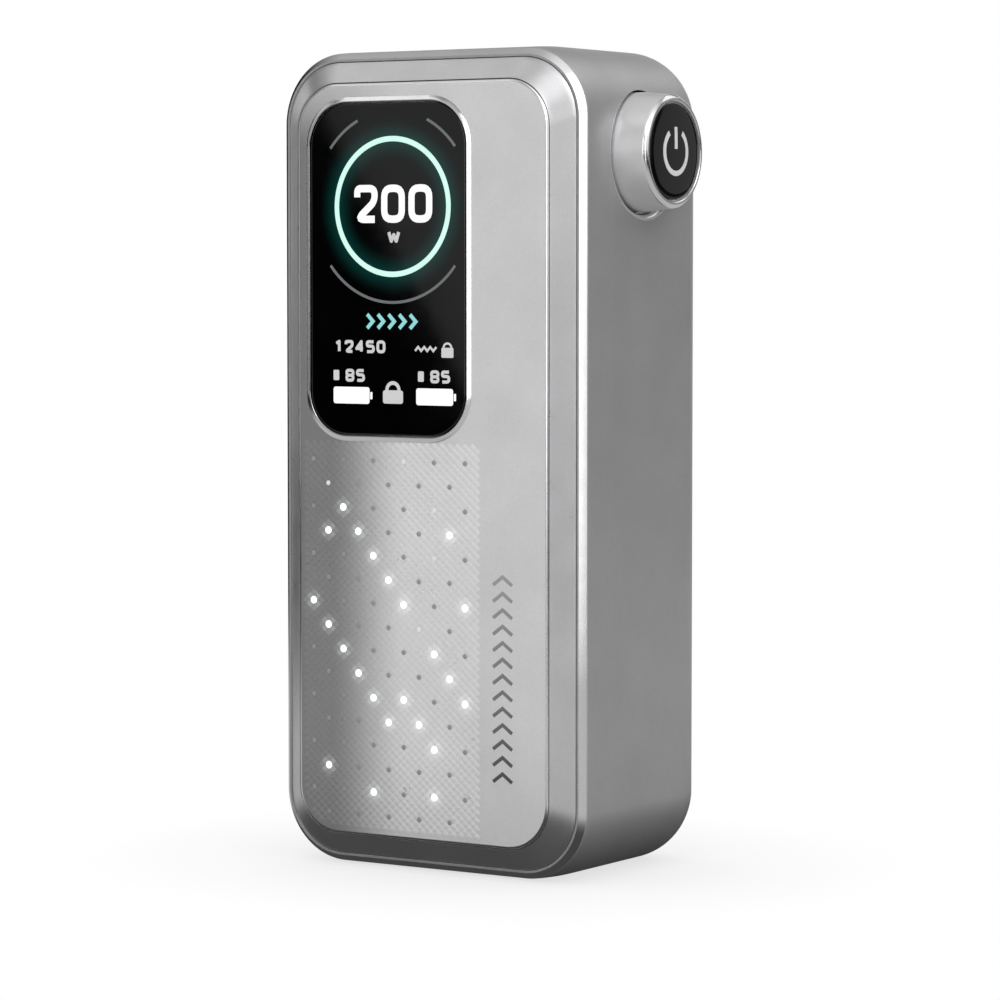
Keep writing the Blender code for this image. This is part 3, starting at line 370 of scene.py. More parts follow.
def loft(name, rings, *materials, closed=False):
    """Joins rings of points. Each ring is (points, material index of the band that follows it)."""
    bm = bmesh.new()
    rows = [[bm.verts.new(p) for p in r[0]] for r in rings]
    skin(bm, rows, [r[1] for r in rings], closed)
    return new_piece(name, bm, *materials)


def ring(centre, size, corner, inset, y, paint=0, corner_at=None):
    """One loft ring: a rounded rectangle drawn in by an inset, at a depth y."""
    drawn = (size[0] - 2 * inset, size[1] - 2 * inset)
    radius = max(corner - inset, 0.2 * MM) if corner_at is None else corner_at
    return [(x, y, z) for x, z in outline(centre, drawn, radius)], paint, inset


def stack(centre, size, corner, rows):
    """Rings on one rounded rectangle. A row holds what follows the corner in ring."""
    return [ring(centre, size, corner, *row) for row in rows]


def lathe(name, profile, centre, axis, *materials, steps=SEGMENTS_ROUND, closed=False):
    """Turns a profile round X, Y or Z: radius, height along the axis and, if not 0, a material index."""
    bm = bmesh.new()
    rows = []
    for radius, height, *_ in profile:
        row = []
        for i in range(1 if radius == 0 else steps):
            angle = 2 * math.pi * i / steps
            a, b = radius * math.cos(angle), radius * math.sin(angle)
            point = {"X": (height, a, b), "Y": (a, height, b), "Z": (a, b, height)}[axis]
            row.append(bm.verts.new(Vector(centre) + Vector(point)))
        rows.append(row)
    skin(bm, rows, [p[2] if len(p) > 2 else 0 for p in profile], closed)
    return new_piece(name, bm, *materials)


def cutter(obj):
    obj.hide_render = True
    return obj


def carve(target, operation, *tools):
    """Applies boolean steps and leaves a plain mesh."""
    for tool in tools:
        modifier = target.modifiers.new(tool.name, "BOOLEAN")
        modifier.operation = operation
        modifier.solver = "EXACT"
        modifier.object = tool
    bpy.context.view_layer.update()
    graph = bpy.context.evaluated_depsgraph_get()
    mesh = bpy.data.meshes.new_from_object(target.evaluated_get(graph), depsgraph=graph)
    target.modifiers.clear()
    target.data = mesh
    mesh.name = target.name
    for tool in tools:
        bpy.data.objects.remove(tool)
    shade(mesh)
    return target


def soften(obj, width=0.0, segments=2, weld=False):
    """Small bevels and area-weighted normals, so that edges catch the light and flats stay flat."""
    if weld:
        modifier = obj.modifiers.new("weld", "WELD")
        modifier.merge_threshold = 1e-6
    if width:
        modifier = obj.modifiers.new("bevel", "BEVEL")
        modifier.width = width
        modifier.segments = segments
        modifier.limit_method = "ANGLE"
        modifier.angle_limit = math.radians(BEVEL_ANGLE)
        modifier.use_clamp_overlap = True
    modifier = obj.modifiers.new("normals", "WEIGHTED_NORMAL")
    modifier.keep_sharp = True
    modifier.weight = 90
    return obj


def hand_over(obj, body, node=None):
    """Says which body a piece rides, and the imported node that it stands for, if any."""
    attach(obj, body)
    if node is not None:
        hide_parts(node)


def round_over(radius, count=4):
    """(inset, depth) steps of a quarter round, from the side wall to the face."""
    steps = [math.pi / 2 * i / count for i in range(count + 1)]
    return [(radius * (1 - math.cos(a)), radius * math.sin(a)) for a in steps]


# ---------------------------------------------------------------- paints

PLATE_COLOUR = (0.86, 0.86, 0.865)
PLATE_METAL = 0.35
PLATE_ROUGHNESS = 0.38
# Painted shade on the plate: how dark its left gets, and the stretch in mm over which it lifts
PLATE_SHADE = 0.33
SHADE_FROM = -13.0
SHADE_TO = -1.5
GLOW_TEAL = (0.02, 0.42, 0.36)
GLOW_STRENGTH = 0.075
DIAL_X = -3.87 * MM
DIAL_Z = 77.28 * MM
DIAL_RADIUS = 7.8 * MM

HOUSING = coat("housing_paint", (0.46, 0.46, 0.465), 0.55, 0.42, flake=0.08, bump=0.004)
BAND = coat("satin_band", (0.72, 0.72, 0.73), 0.92, 0.30, flake=0.05, bump=0.003)
POLISHED = coat("polished_edge", (0.86, 0.86, 0.87), 1.0, 0.16, bump=0.001, wear=0.1)
KNOB_LIP = coat("knob_lip", (0.72, 0.72, 0.73), 0.8, 0.3, bump=0.001, wear=0.2)
PLATE = plate_shader()
GLASS = lens_shader()
KNOB_SILVER = coat("knob_silver", (0.80, 0.80, 0.81), 0.6, 0.32, grain=0.08, bump=0.002, wear=0.2)
INLAY_BLACK = coat("inlay_black", (0.004, 0.004, 0.0045), 0.0, 0.08, bump=0.0006, wear=0.0)
INLAY_MARK = coat("inlay_mark", (0.88, 0.88, 0.89), 0.15, 0.35, bump=0.001, wear=0.1)
STEEL = coat("turned_steel", (0.66, 0.66, 0.67), 1.0, 0.24, grain=0.1, bump=0.002, stretch=(1, 1, 6))
GOLD = coat("gold_plate", (0.86, 0.62, 0.27), 1.0, 0.22, grain=0.1, bump=0.001)
NICKEL = coat("nickel_plate", (0.72, 0.70, 0.66), 1.0, 0.22, grain=0.12, bump=0.002)
BLACK_PLASTIC = coat("black_plastic", (0.03, 0.03, 0.032), 0.0, 0.48, grain=0.12, bump=0.01)
INSULATOR = coat("insulator", (0.72, 0.66, 0.50), 0.0, 0.5, grain=0.15, bump=0.004)
RUBBER = coat("seal_rubber", (0.035, 0.035, 0.036), 0.0, 0.75, grain=0.2, bump=0.008)
BOARD = coat("board_green", (0.012, 0.11, 0.055), 0.0, 0.38, grain=0.3, bump=0.004)
CHIP = coat("chip_black", (0.022, 0.022, 0.024), 0.0, 0.55, grain=0.08, bump=0.004)
FERRITE = coat("ferrite", (0.13, 0.13, 0.135), 0.15, 0.6, grain=0.12, bump=0.01)
FLEX = coat("copper_flex", (0.52, 0.25, 0.06), 0.15, 0.4, grain=0.3, bump=0.002)
GUIDE = coat("light_guide", (0.82, 0.84, 0.86), 0.0, 0.3, grain=0.3, bump=0.002)
LED = coat("led_phosphor", (0.92, 0.86, 0.55), 0.0, 0.4, grain=0.1, bump=0.002)
DISPLAY = coat("display_black", (0.025, 0.025, 0.028), 0.0, 0.3, grain=0.3, bump=0.002)
WRAP = coat("cell_wrap", (0.035, 0.19, 0.42), 0.0, 0.3, grain=0.25, bump=0.006, wear=0.0)
RED_WIRE = coat("red_wire", (0.55, 0.02, 0.02), 0.0, 0.42, grain=0.3, bump=0.006)
BLACK_WIRE = coat("black_wire", (0.02, 0.02, 0.021), 0.0, 0.42, grain=0.3, bump=0.006)


# ---------------------------------------------------------------- housing

CENTRE = (0.0, (SHELL_LOW.z + SHELL_HIGH.z) / 2)
SIZE = (SHELL_HIGH.x - SHELL_LOW.x, SHELL_HIGH.z - SHELL_LOW.z)
RIM = SHELL_LOW.y
REAR = COVER_HIGH.y


def housing_rings():
    """The housing's outside from front to rear: chamfer, soft shoulder, straight wall and rear fillet."""
    chamfer_end = RIM + RIM_CHAMFER
    rows = [
        (SHOULDER + RIM_CHAMFER, RIM, 1),
        (SHOULDER + EDGE, chamfer_end - EDGE),
        (SHOULDER + 0.25 * EDGE, chamfer_end + 0.1 * EDGE),
    ]
    for i in range(SHOULDER_STEPS + 1):
        share = i / SHOULDER_STEPS
        rows.append((SHOULDER * (1 - share) ** 2, chamfer_end + EDGE + (SHOULDER_LENGTH - EDGE) * share))
    rows += [(inset, REAR - REAR_FILLET + depth) for inset, depth in round_over(REAR_FILLET, 16)]
    return stack(CENTRE, SIZE, CORNER, rows)


def finger_notch(name):
    """A round scoop in the rear edge of the base, to lift the cover by."""
    radius, reach = 7.0 * MM, 3.1 * MM
    start, lip, end = 12.9 * MM, 0.4 * MM, REAR + PAST
    profile = [(0, start), (radius - lip, start), (radius, start + lip), (radius, end), (0, end)]
    return cutter(lathe(name, profile, (0, 0, reach - radius), "Y", HOUSING, steps=128))


def lipped_slot(name, centre, size, corner, face, axis):
    """A rounded slot cutter with a small chamfer where it meets a low face across X or Z."""
    rings = []
    for grow, along in ((SLOT_LIP + 0.5 * MM, -0.5 * MM), (0, SLOT_LIP), (0, PAST)):
        drawn = (size[0] + 2 * grow, size[1] + 2 * grow)
        points = outline(centre, drawn, min(corner + grow, min(drawn) / 2 - 1e-6), 8)
        level = face + along
        if axis == "X":
            rings.append(([(level, a, b) for a, b in points], 0))
        else:
            rings.append(([(a, b, level) for a, b in points], 0))
    return cutter(loft(name, rings, HOUSING))


def knob_hole():
    """The hole for the knob, with a rounded bright lip at the wall."""
    wall, mouth, end = SHELL_HIGH.x, KNOB_HOLE + KNOB_FLARE, SHELL_HIGH.x - PAST
    profile = [(0, wall + 3 * OVER), (mouth + 2 * OVER, wall + 2 * OVER)]
    profile += [(mouth - depth, wall - inset, 1) for inset, depth in round_over(KNOB_FLARE, 8)]
    profile += [(KNOB_HOLE, end), (0, end)]
    return lathe("knob_hole", profile, KNOB_CENTRE, "X", HOUSING, KNOB_LIP)


def deck_recess():
    """The round recess in the top that the socket's flange sits in."""
    top = SHELL_HIGH.z
    floor, above, below = top - DECK_DEPTH, top + OVER, top - PAST
    profile = [(0, above), (DECK_RADIUS + DECK_LIP + OVER, above), (DECK_RADIUS, top - DECK_LIP)]
    profile += [(DECK_RADIUS, floor), (DECK_BORE, floor), (DECK_BORE, below), (0, below)]
    return lathe("deck_recess", profile, SOCKET_CENTRE, "Z", HOUSING)


def build_shell():
    lip = 0.1 * MM
    wall_inset = (SIZE[0] - TUNNEL[0]) / 2
    seat_inset = (SIZE[0] - (BAND_HIGH.x - BAND_LOW.x)) / 2 - SEAM
    turn = math.acos(1 - (wall_inset - lip) / REAR_FILLET)
    rim_y = REAR - REAR_FILLET + REAR_FILLET * math.sin(turn)
    seat_y = RIM + SEAT_DEPTH
    inside = (
        (wall_inset - lip, rim_y),
        (wall_inset - 0.3 * lip, rim_y - 0.2 * lip, 0, TUNNEL_CORNER),
        (wall_inset, rim_y - lip, 0, TUNNEL_CORNER),
        (wall_inset, seat_y, 0, TUNNEL_CORNER),
        (seat_inset, seat_y),
        (seat_inset, RIM + 0.5 * EDGE),
        (seat_inset - 0.5 * EDGE, RIM),
    )
    rings = [r for r in housing_rings() if r[2] <= wall_inset - lip]
    rings += stack(CENTRE, SIZE, CORNER, inside)
    shell = loft("housing_shell", rings, HOUSING, POLISHED, closed=True)
    usb_centre = ((USB_LOW.y + USB_HIGH.y) / 2, (USB_LOW.z + USB_HIGH.z) / 2)
    usb_slot = lipped_slot("usb_slot", usb_centre, USB_SLOT, USB_CORNER, SHELL_LOW.x, "X")
    tools = [knob_hole(), usb_slot, deck_recess(), finger_notch("notch")]
    for i in range(VENT_COUNT):
        x = (i - (VENT_COUNT - 1) / 2) * VENT_PITCH
        tools.append(lipped_slot(f"vent_{i}", (x, 0), VENT, VENT_CORNER, 0.0, "Z"))
    carve(shell, "DIFFERENCE", *tools)
    hand_over(soften(shell), "housing", "body_shell")


def build_cover():
    size = (COVER_HIGH.x - COVER_LOW.x, COVER_HIGH.z - COVER_LOW.z)
    corner = TUNNEL_CORNER - (TUNNEL[0] - size[0]) / 2
    cover = loft("back_cover", stack(CENTRE, size, corner, ((0, COVER_LOW.y), (0, REAR + PAST))), HOUSING)
    carve(cover, "INTERSECT", loft("envelope", housing_rings(), HOUSING))
    start = COVER_LOW.y - PAST
    hollow_size = (size[0] - 2 * COVER_WALL, HOLLOW_HEIGHT)
    hollow_rings = stack((0, HOLLOW_Z), hollow_size, HOLLOW_CORNER, ((0, start), (0, REAR - COVER_WALL)))
    tools = [loft("hollow", hollow_rings, HOUSING), finger_notch("notch")]
    for name in CORNERS:
        low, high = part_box(f"cover_magnet_{name}")
        middle = (low + high) / 2
        radius, depth = (high.x - low.x) / 2 + ROOM, high.y + ROOM
        profile = [(0, start), (radius, start), (radius, depth), (0, depth)]
        tools.append(lathe(f"pocket_{name}", profile, (middle.x, 0, middle.z), "Y", HOUSING, steps=48))
    past, flare = REAR + OVER, HOLE_RADIUS + HOLE_LIP + OVER
    profile = [(0, 0), (HOLE_RADIUS, 0), (HOLE_RADIUS, REAR - HOLE_LIP), (flare, past), (0, past)]
    for i in range(HOLE_COUNT):
        centre = ((i - (HOLE_COUNT - 1) / 2) * HOLE_PITCH, 0, HOLE_Z)
        tools.append(lathe(f"hole_{i}", profile, centre, "Y", HOUSING, steps=40))
    carve(cover, "DIFFERENCE", *tools)
    hand_over(soften(cover, EDGE), "rear_cover", "rear_cover")


def build_band():
    """The sloping frame round the front plate, with posts for the screws behind it."""
    size = (BAND_HIGH.x - BAND_LOW.x, BAND_HIGH.z - BAND_LOW.z)
    corner = CORNER - (SIZE[0] - size[0]) / 2
    reach = (size[0] - (PLATE_HIGH.x - PLATE_LOW.x + 2 * POCKET_GAP)) / 2
    pocket_corner = PLATE_CORNER + POCKET_GAP
    top, back_y, ledge_y = BAND_LOW.y, RIM + BAND_DEPTH, PLATE_HIGH.y + ROOM
    slope = (top - RIM) / reach
    opening = reach + POCKET_GAP + PLATE_LEDGE
    rows = [
        (0, back_y),
        (0, RIM + EDGE, 0, corner),
        (0.3 * EDGE, RIM + 0.2 * EDGE, 0, corner - 0.3 * EDGE),
        (EDGE, RIM + EDGE * slope, 0, corner - EDGE),
    ]
    for i in range(1, 5):
        inset = reach * i / 5
        rows.append((inset, RIM + slope * inset, 0, corner + (pocket_corner - corner) * i / 5))
    near = reach - 1.5 * EDGE
    rows += [
        (near, RIM + slope * near, 0, pocket_corner + 1.5 * EDGE),
        (reach - 0.4 * EDGE, top + 0.1 * EDGE, 0, pocket_corner + 0.4 * EDGE),
        (reach, top + 0.8 * EDGE, 0, pocket_corner),
        (reach, ledge_y, 0, pocket_corner),
        (opening, ledge_y, 0, OPENING_CORNER),
        (opening, back_y, 0, OPENING_CORNER),
    ]
    band = loft("front_band", stack(CENTRE, size, corner, rows), BAND, POLISHED, closed=True)
    carve(band, "UNION", *screw_posts(back_y))
    hand_over(soften(band), "housing", "front_frame")


POST_OVERLAP = 0.6 * MM
POST_RADIUS = 1.35 * MM
POST_BORE = 0.85 * MM
POST_BORE_END = -11.0 * MM
COLLAR_RADIUS = 1.8 * MM


def screw_posts(back_y):
    """Posts behind the band for its screws. The lower two have a collar that stops short of the board."""
    end, start, step = BAND_HIGH.y, back_y - POST_OVERLAP, MAIN_LOW.y - ROOM
    posts = []
    for name in CORNERS:
        low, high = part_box(f"frame_screw_{name}")
        profile = [(0, start), (POST_RADIUS, start)]
        if name.startswith("lower"):
            profile = [(0, start), (COLLAR_RADIUS, start), (COLLAR_RADIUS, step), (POST_RADIUS, step)]
        profile += [(POST_RADIUS, end), (POST_BORE, end), (POST_BORE, POST_BORE_END), (0, POST_BORE_END)]
        centre = ((low.x + high.x) / 2, 0, (low.z + high.z) / 2)
        posts.append(lathe(f"post_{name}", profile, centre, "Y", BAND, steps=32))
    return posts


# ---------------------------------------------------------------- front plate, lens and dots

PLATE_CENTRE = ((PLATE_LOW.x + PLATE_HIGH.x) / 2, (PLATE_LOW.z + PLATE_HIGH.z) / 2)
PLATE_SIZE = (PLATE_HIGH.x - PLATE_LOW.x, PLATE_HIGH.z - PLATE_LOW.z)
FACE = PLATE_LOW.y + BEZEL_RISE
LENS_CENTRE = ((LENS_LOW.x + LENS_HIGH.x) / 2, (LENS_LOW.z + LENS_HIGH.z) / 2)
LENS_SIZE = (LENS_HIGH.x - LENS_LOW.x, LENS_HIGH.z - LENS_LOW.z)
LENS_FACE = LENS_LOW.y


def build_plate():
    back = PLATE_HIGH.y
    rows = [(0, back, 1)]
    rows += [(inset, FACE + PLATE_FILLET - depth, 1) for inset, depth in round_over(PLATE_FILLET, 6)]
    rows[-1] = (*rows[-1][:2], 0)
    rows.append((PLATE_FILLET + 0.12 * MM, FACE))
    plate = loft("silver_plate", stack(PLATE_CENTRE, PLATE_SIZE, PLATE_CORNER, rows), PLATE, POLISHED)
    hole_size = (LENS_SIZE[0] + 2 * LENS_FIT, LENS_SIZE[1] + 2 * LENS_FIT)
    hole = (LENS_CENTRE, hole_size, SCREEN_CORNER + LENS_FIT)
    seat = ((-BEZEL_WIDTH, FACE - PAST), (-BEZEL_WIDTH, FACE + BEZEL_SEAT))
    carve(plate, "DIFFERENCE", loft("bezel_seat", stack(*hole, seat), PLATE))
    lens_back, inner = LENS_HIGH.y + ROOM, WINDOW_LEDGE + LENS_FIT
    window = ((0, FACE - PAST), (0, lens_back), (inner, lens_back), (inner, back + PAST))
    carve(plate, "DIFFERENCE", loft("window", stack(*hole, window), PLATE))
    hand_over(soften(plate), "housing", "front_plate")
    build_bezel(hole)


def build_bezel(hole):
    """The polished ring round the glass: it slopes up from the plate to a rounded inner edge."""
    top, foot = PLATE_LOW.y, FACE + BEZEL_SEAT - BEZEL_FIT
    rows = (
        (BEZEL_FIT - BEZEL_WIDTH, foot),
        (BEZEL_FIT - BEZEL_WIDTH, FACE - 0.01 * MM),
        (0.05 * MM - BEZEL_WIDTH, FACE - 0.03 * MM),
        (-0.14 * MM, top + 0.02 * MM),
        (-0.08 * MM, top + 0.005 * MM),
        (-0.03 * MM, top + 0.01 * MM),
        (0.0, top + 0.05 * MM),
        (0.0, foot),
    )
    bezel = loft("screen_bezel", stack(*hole, rows), POLISHED, closed=True)
    hand_over(soften(bezel), "housing")


def build_lens():
    edge = 0.15 * MM
    rows = [(0, LENS_HIGH.y)]
    rows += [(inset, LENS_FACE + edge - depth) for inset, depth in round_over(edge, 4)]
    rows.append((0.25 * MM, LENS_FACE))
    lens = loft("black_lens", stack(LENS_CENTRE, LENS_SIZE, SCREEN_CORNER, rows), GLASS)
    hand_over(soften(lens), "housing", "screen_lens")


def in_pattern(x, z):
    """True where the plate carries diamond studs: below the screen, up to a line right of its middle."""
    margin = ZONE_MARGIN
    left, right = PLATE_LOW.x + margin, ZONE_RIGHT
    low, high = PLATE_LOW.z + margin, LENS_LOW.z - 1.0 * MM
    if not (left <= x <= right and low <= z <= high):
        return False
    corner = PLATE_CORNER - margin
    across, down = left + corner - x, low + corner - z
    return not (across > 0 and down > 0 and math.hypot(across, down) > corner)


def dot_places():
    places = []
    for row in range(DOT_ROWS):
        for column in range(DOT_COLUMNS):
            x = DOT_FIRST_X + 2 * STUD_PITCH_X * column
            z = DOT_FIRST_Z - 3 * STUD_PITCH_Z * row
            if (row + column) % 2 == 0 and in_pattern(x, z):
                places.append((column, row, x, z))
    return places


STUD_BASE = 0.94
STUD_TOP = 0.62
STUD_SINK = 0.02 * MM
STUD_SPREAD = 46 * MM


def add_stud(bm, layer, x, z, glow):
    """A low pyramid on a diamond foot. Each vertex carries the painted glow that the nearest lit dot spills
    onto it.
    """
    half_x, half_z = STUD_PITCH_X / 2, STUD_PITCH_Z / 2
    levels = ((STUD_BASE, STUD_SINK), (STUD_BASE, -0.2 * STUD_HEIGHT), (STUD_TOP, -0.8 * STUD_HEIGHT))
    rows = []
    for share, rise in levels:
        around = ((half_x * share, 0), (0, half_z * share), (-half_x * share, 0), (0, -half_z * share))
        rows.append([bm.verts.new((x + a, FACE + rise, z + b)) for a, b in around])
    rows.append([bm.verts.new((x, FACE - STUD_HEIGHT, z))])
    for vert in sum(rows, []):
        vert[layer] = glow
    skin(bm, rows)


def build_studs():
    """Low diamond studs in a close lattice, left out where a light dot sits."""
    dot_points = np.array([(x, z) for _, _, x, z in dot_places()])
    lit_points = np.array([(x, z) for column, row, x, z in dot_places() if (column, row) in LIT_DOTS])
    bm = bmesh.new()
    layer = bm.verts.layers.float.new("glow")
    half_x, half_z = STUD_PITCH_X / 2, STUD_PITCH_Z / 2
    columns = int((ZONE_RIGHT - DOT_FIRST_X) / half_x) + 4
    rows = int(STUD_SPREAD / half_z)
    for i in range(-4, columns):
        for j in range(-2, rows):
            if (i + j) % 2:
                continue
            x, z = DOT_FIRST_X + i * half_x, DOT_FIRST_Z + 2 * half_z - j * half_z
            if not in_pattern(x, z):
                continue
            if np.hypot(*(dot_points - (x, z)).T).min() < 0.2 * STUD_PITCH_X:
                continue
            near = np.hypot(*(lit_points - (x, z)).T).min()
            add_stud(bm, layer, x, z, math.exp(-((near / PAINTED_SPILL_REACH) ** 2)))
    studs = new_piece("diamond_studs", bm, STUD_PAINT)
    hand_over(studs, "housing")


DOT_STEPS = 20
FAINT_GLOW = 0.35
LIT_WIDTH = 1.3
DARK_WIDTH = 0.85
DOT_SINK = 0.02 * MM
DOT_PEAK = 0.043 * MM
# Share of the dot's radius, and how far it stands out there
DOT_DOME = ((1.0, 0.018 * MM), (0.8, 0.032 * MM), (0.45, 0.04 * MM))


def build_dots():
    """Small domed light windows. Each vertex carries how brightly its dot is lit."""
    bm = bmesh.new()
    layer = bm.verts.layers.float.new("glow")
    aims = [2 * math.pi * k / DOT_STEPS for k in range(DOT_STEPS)]
    for column, row, x, z in dot_places():
        lit = 1.0 if (column, row) in LIT_DOTS else FAINT_GLOW if (column, row) in FAINT_DOTS else 0.0
        radius = DOT_RADIUS * (LIT_WIDTH if lit == 1.0 else DARK_WIDTH)
        rows = []
        for share, rise in ((1.0, -DOT_SINK), *DOT_DOME):
            r, y = share * radius, FACE - rise
            rows.append([bm.verts.new((x + r * math.cos(a), y, z + r * math.sin(a))) for a in aims])
        rows.append([bm.verts.new((x, FACE - DOT_PEAK, z))])
        for vert in sum(rows, []):
            vert[layer] = lit
        skin(bm, rows)
    hand_over(new_piece("light_dots", bm, DOT_PAINT), "housing")


def stud_shader():
    colour = scaled(PLATE_COLOUR, 1.12)
    s = surface("satin_studs", colour, PLATE_METAL, 0.30, flake=0.06, bump=0.002, wear=0.0)
    # The same painted shade as on the plate, darker towards the left
    across = s.remap(s.axis("X"), SHADE_FROM, SHADE_TO, PLATE_SHADE, 1.02, smooth=True)
    # Painted light: studs near a lit dot glow as if its light spilled onto them
    painted_spill = s.add("Attribute", attribute_name="glow", output="Fac")
    s.set(
        Base_Color=s.mix(1.0, s.base(), s.grey(across), "MULTIPLY"),
        Emission_Color=(0.95, 0.98, 1.0),
        Emission_Strength=s.maths("MULTIPLY", painted_spill, PAINTED_SPILL_STRENGTH),
    )
    return s.material


def dot_shader():
    """White where lit, and smoked grey where dark."""
    s = Shader("light_dots")
    lit = s.add("Attribute", attribute_name="glow", output="Fac")
    dark = s.mix(s.noise(0.4), (0.30, 0.30, 0.305), (0.38, 0.38, 0.385))
    s.set(
        Base_Color=s.mix(lit, dark, (0.8, 0.8, 0.8)),
        Roughness=s.remap(s.noise(0.3), 0.3, 0.7, 0.3, 0.42),
        Emission_Color=(0.96, 0.98, 1.0),
        Emission_Strength=s.maths("MULTIPLY", lit, 0.95),
        Normal=s.bump(s.noise(0.15), 0.002 * MM),
    )
    return s.material


STUD_PAINT = stud_shader()
DOT_PAINT = dot_shader()


# ---------------------------------------------------------------- marks on the screen

SCREEN_WHITE = emitter("screen_white", (0.92, 0.92, 0.92), 1.0)
SCREEN_MINT = emitter("screen_mint", (0.60, 0.90, 0.80), 1.0)
SCREEN_TEAL = emitter("screen_teal", (0.25, 0.62, 0.62), 1.0)
SCREEN_GREY = emitter("screen_grey", (0.30, 0.32, 0.33), 0.35)
SCREEN_SILVER = emitter("screen_silver", (0.62, 0.62, 0.62), 0.85)
MARK_THICKNESS = 0.03 * MM
MARK_SEAT = 0.005 * MM
# In mm and degrees: the arcs round the dial, and the size, gap and stroke of the small figures
ARC_RADIUS = 11.04
DIAL_ARCS = ((-142, -38), (116, 142), (38, 64))
SMALL_FIGURES = ((1.25, 1.5), 0.25, 0.36)


def ribbon_outline(points, width, closed=False):
    """Points on both sides of a path, mitred at its bends."""
    path = [Vector(p) for p in points]
    count = len(path)
    left, right = [], []
    for i, here in enumerate(path):
        before = path[i - 1] if closed or i > 0 else None
        after = path[(i + 1) % count] if closed or i < count - 1 else None
        into = (here - before).normalized() if before is not None else (after - here).normalized()
        out = (after - here).normalized() if after is not None else into
        tangent = (into + out).normalized() if (into + out).length > 1e-6 else into
        normal = Vector((-tangent.y, tangent.x))
        reach = width / 2 / max(0.45, normal.dot(Vector((-into.y, into.x))))
        left.append(here + normal * reach)
        right.append(here - normal * reach)
    return left, right


def add_ribbon(bm, y, points, width, closed=False):
    """A flat raised stroke on the plane at y, standing towards -Y. Points and width are in mm."""
    rows = []
    for left, right in zip(*ribbon_outline(points, width, closed)):
        a, b = left * MM, right * MM
        raised = y - MARK_THICKNESS
        corners = ((a.x, y, a.y), (b.x, y, b.y), (b.x, raised, b.y), (a.x, raised, a.y))
        rows.append([bm.verts.new(c) for c in corners])
    skin(bm, rows, closed=closed)


def rounded_path(points, radius, closed=False, steps=5):
    """Rounds a path's corners with short curves."""
    path = [Vector(p) for p in points]
    count = len(path)
    made = []
    for i, here in enumerate(path):
        if not closed and i in (0, count - 1):
            made.append(here)
            continue
        before, after = path[i - 1], path[(i + 1) % count]
        reach = min(radius, (before - here).length * 0.49, (after - here).length * 0.49)
        a = here + (before - here).normalized() * reach
        b = here + (after - here).normalized() * reach
        for k in range(steps + 1):
            t = k / steps
            made.append(a * (1 - t) ** 2 + here * 2 * t * (1 - t) + b * t**2)
    return made


def arc(centre, radius, start, end, steps):
    turns = [math.radians(start + (end - start) * i / steps) for i in range(steps + 1)]
    return [(centre[0] + radius * math.cos(t), centre[1] + radius * math.sin(t)) for t in turns]


# Strokes of each figure in a cell one unit wide and one high: (points, closed)
FIGURES = {
    "0": [(((0, 0), (1, 0), (1, 1), (0, 1)), True)],
    "1": [(((0.15, 0.8), (0.6, 1), (0.6, 0)), False)],
    "2": [(((0, 0.72), (0, 1), (1, 1), (1, 0.58), (0, 0.0), (1, 0.0)), False)],
    "4": [(((0.75, 0), (0.75, 1), (0, 0.3), (1, 0.3)), False)],
    "5": [(((1, 1), (0, 1), (0, 0.56), (1, 0.56), (1, 0), (0, 0)), False)],
    "8": [(((0, 0), (1, 0), (1, 0.5), (0, 0.5)), True), (((0, 0.5), (1, 0.5), (1, 1), (0, 1)), True)],
    "W": [(((0, 1), (0.25, 0), (0.5, 0.7), (0.75, 0), (1, 1)), False)],
}

SHARP_FIGURES = "14W"


def add_figures(bm, y, text, low, size, gap, stroke):
    """Figures drawn with strokes, starting at the low corner, in mm."""
    x, z = low
    inner = (size[0] - stroke, size[1] - stroke)
    for figure in text:
        radius = (0.02 if figure in SHARP_FIGURES else 0.42) * inner[0]
        for points, closed in FIGURES[figure]:
            placed = [(x + stroke / 2 + a * inner[0], z + stroke / 2 + b * inner[1]) for a, b in points]
            add_ribbon(bm, y, rounded_path(placed, radius, closed), stroke, closed)
        x += size[0] + gap


def add_bar(bm, y, low, high, corner=0.15):
    """A filled rounded bar between two corners, in mm."""
    centre = ((low[0] + high[0]) / 2, (low[1] + high[1]) / 2)
    size = (high[0] - low[0], high[1] - low[1])
    points = outline(centre, size, min(corner, min(size) / 2 - 0.001), 4)
    levels = (y, y - MARK_THICKNESS)
    skin(bm, [[bm.verts.new((x * MM, level, z * MM)) for x, z in points] for level in levels])


def mark(name, paint, *shapes):
    """One piece of screen marks on the lens face. A shape is a drawing function and its values in mm."""
    bm = bmesh.new()
    for draw, *values in shapes:
        draw(bm, LENS_FACE + MARK_SEAT, *values)
    hand_over(new_piece(name, bm, paint), "housing")


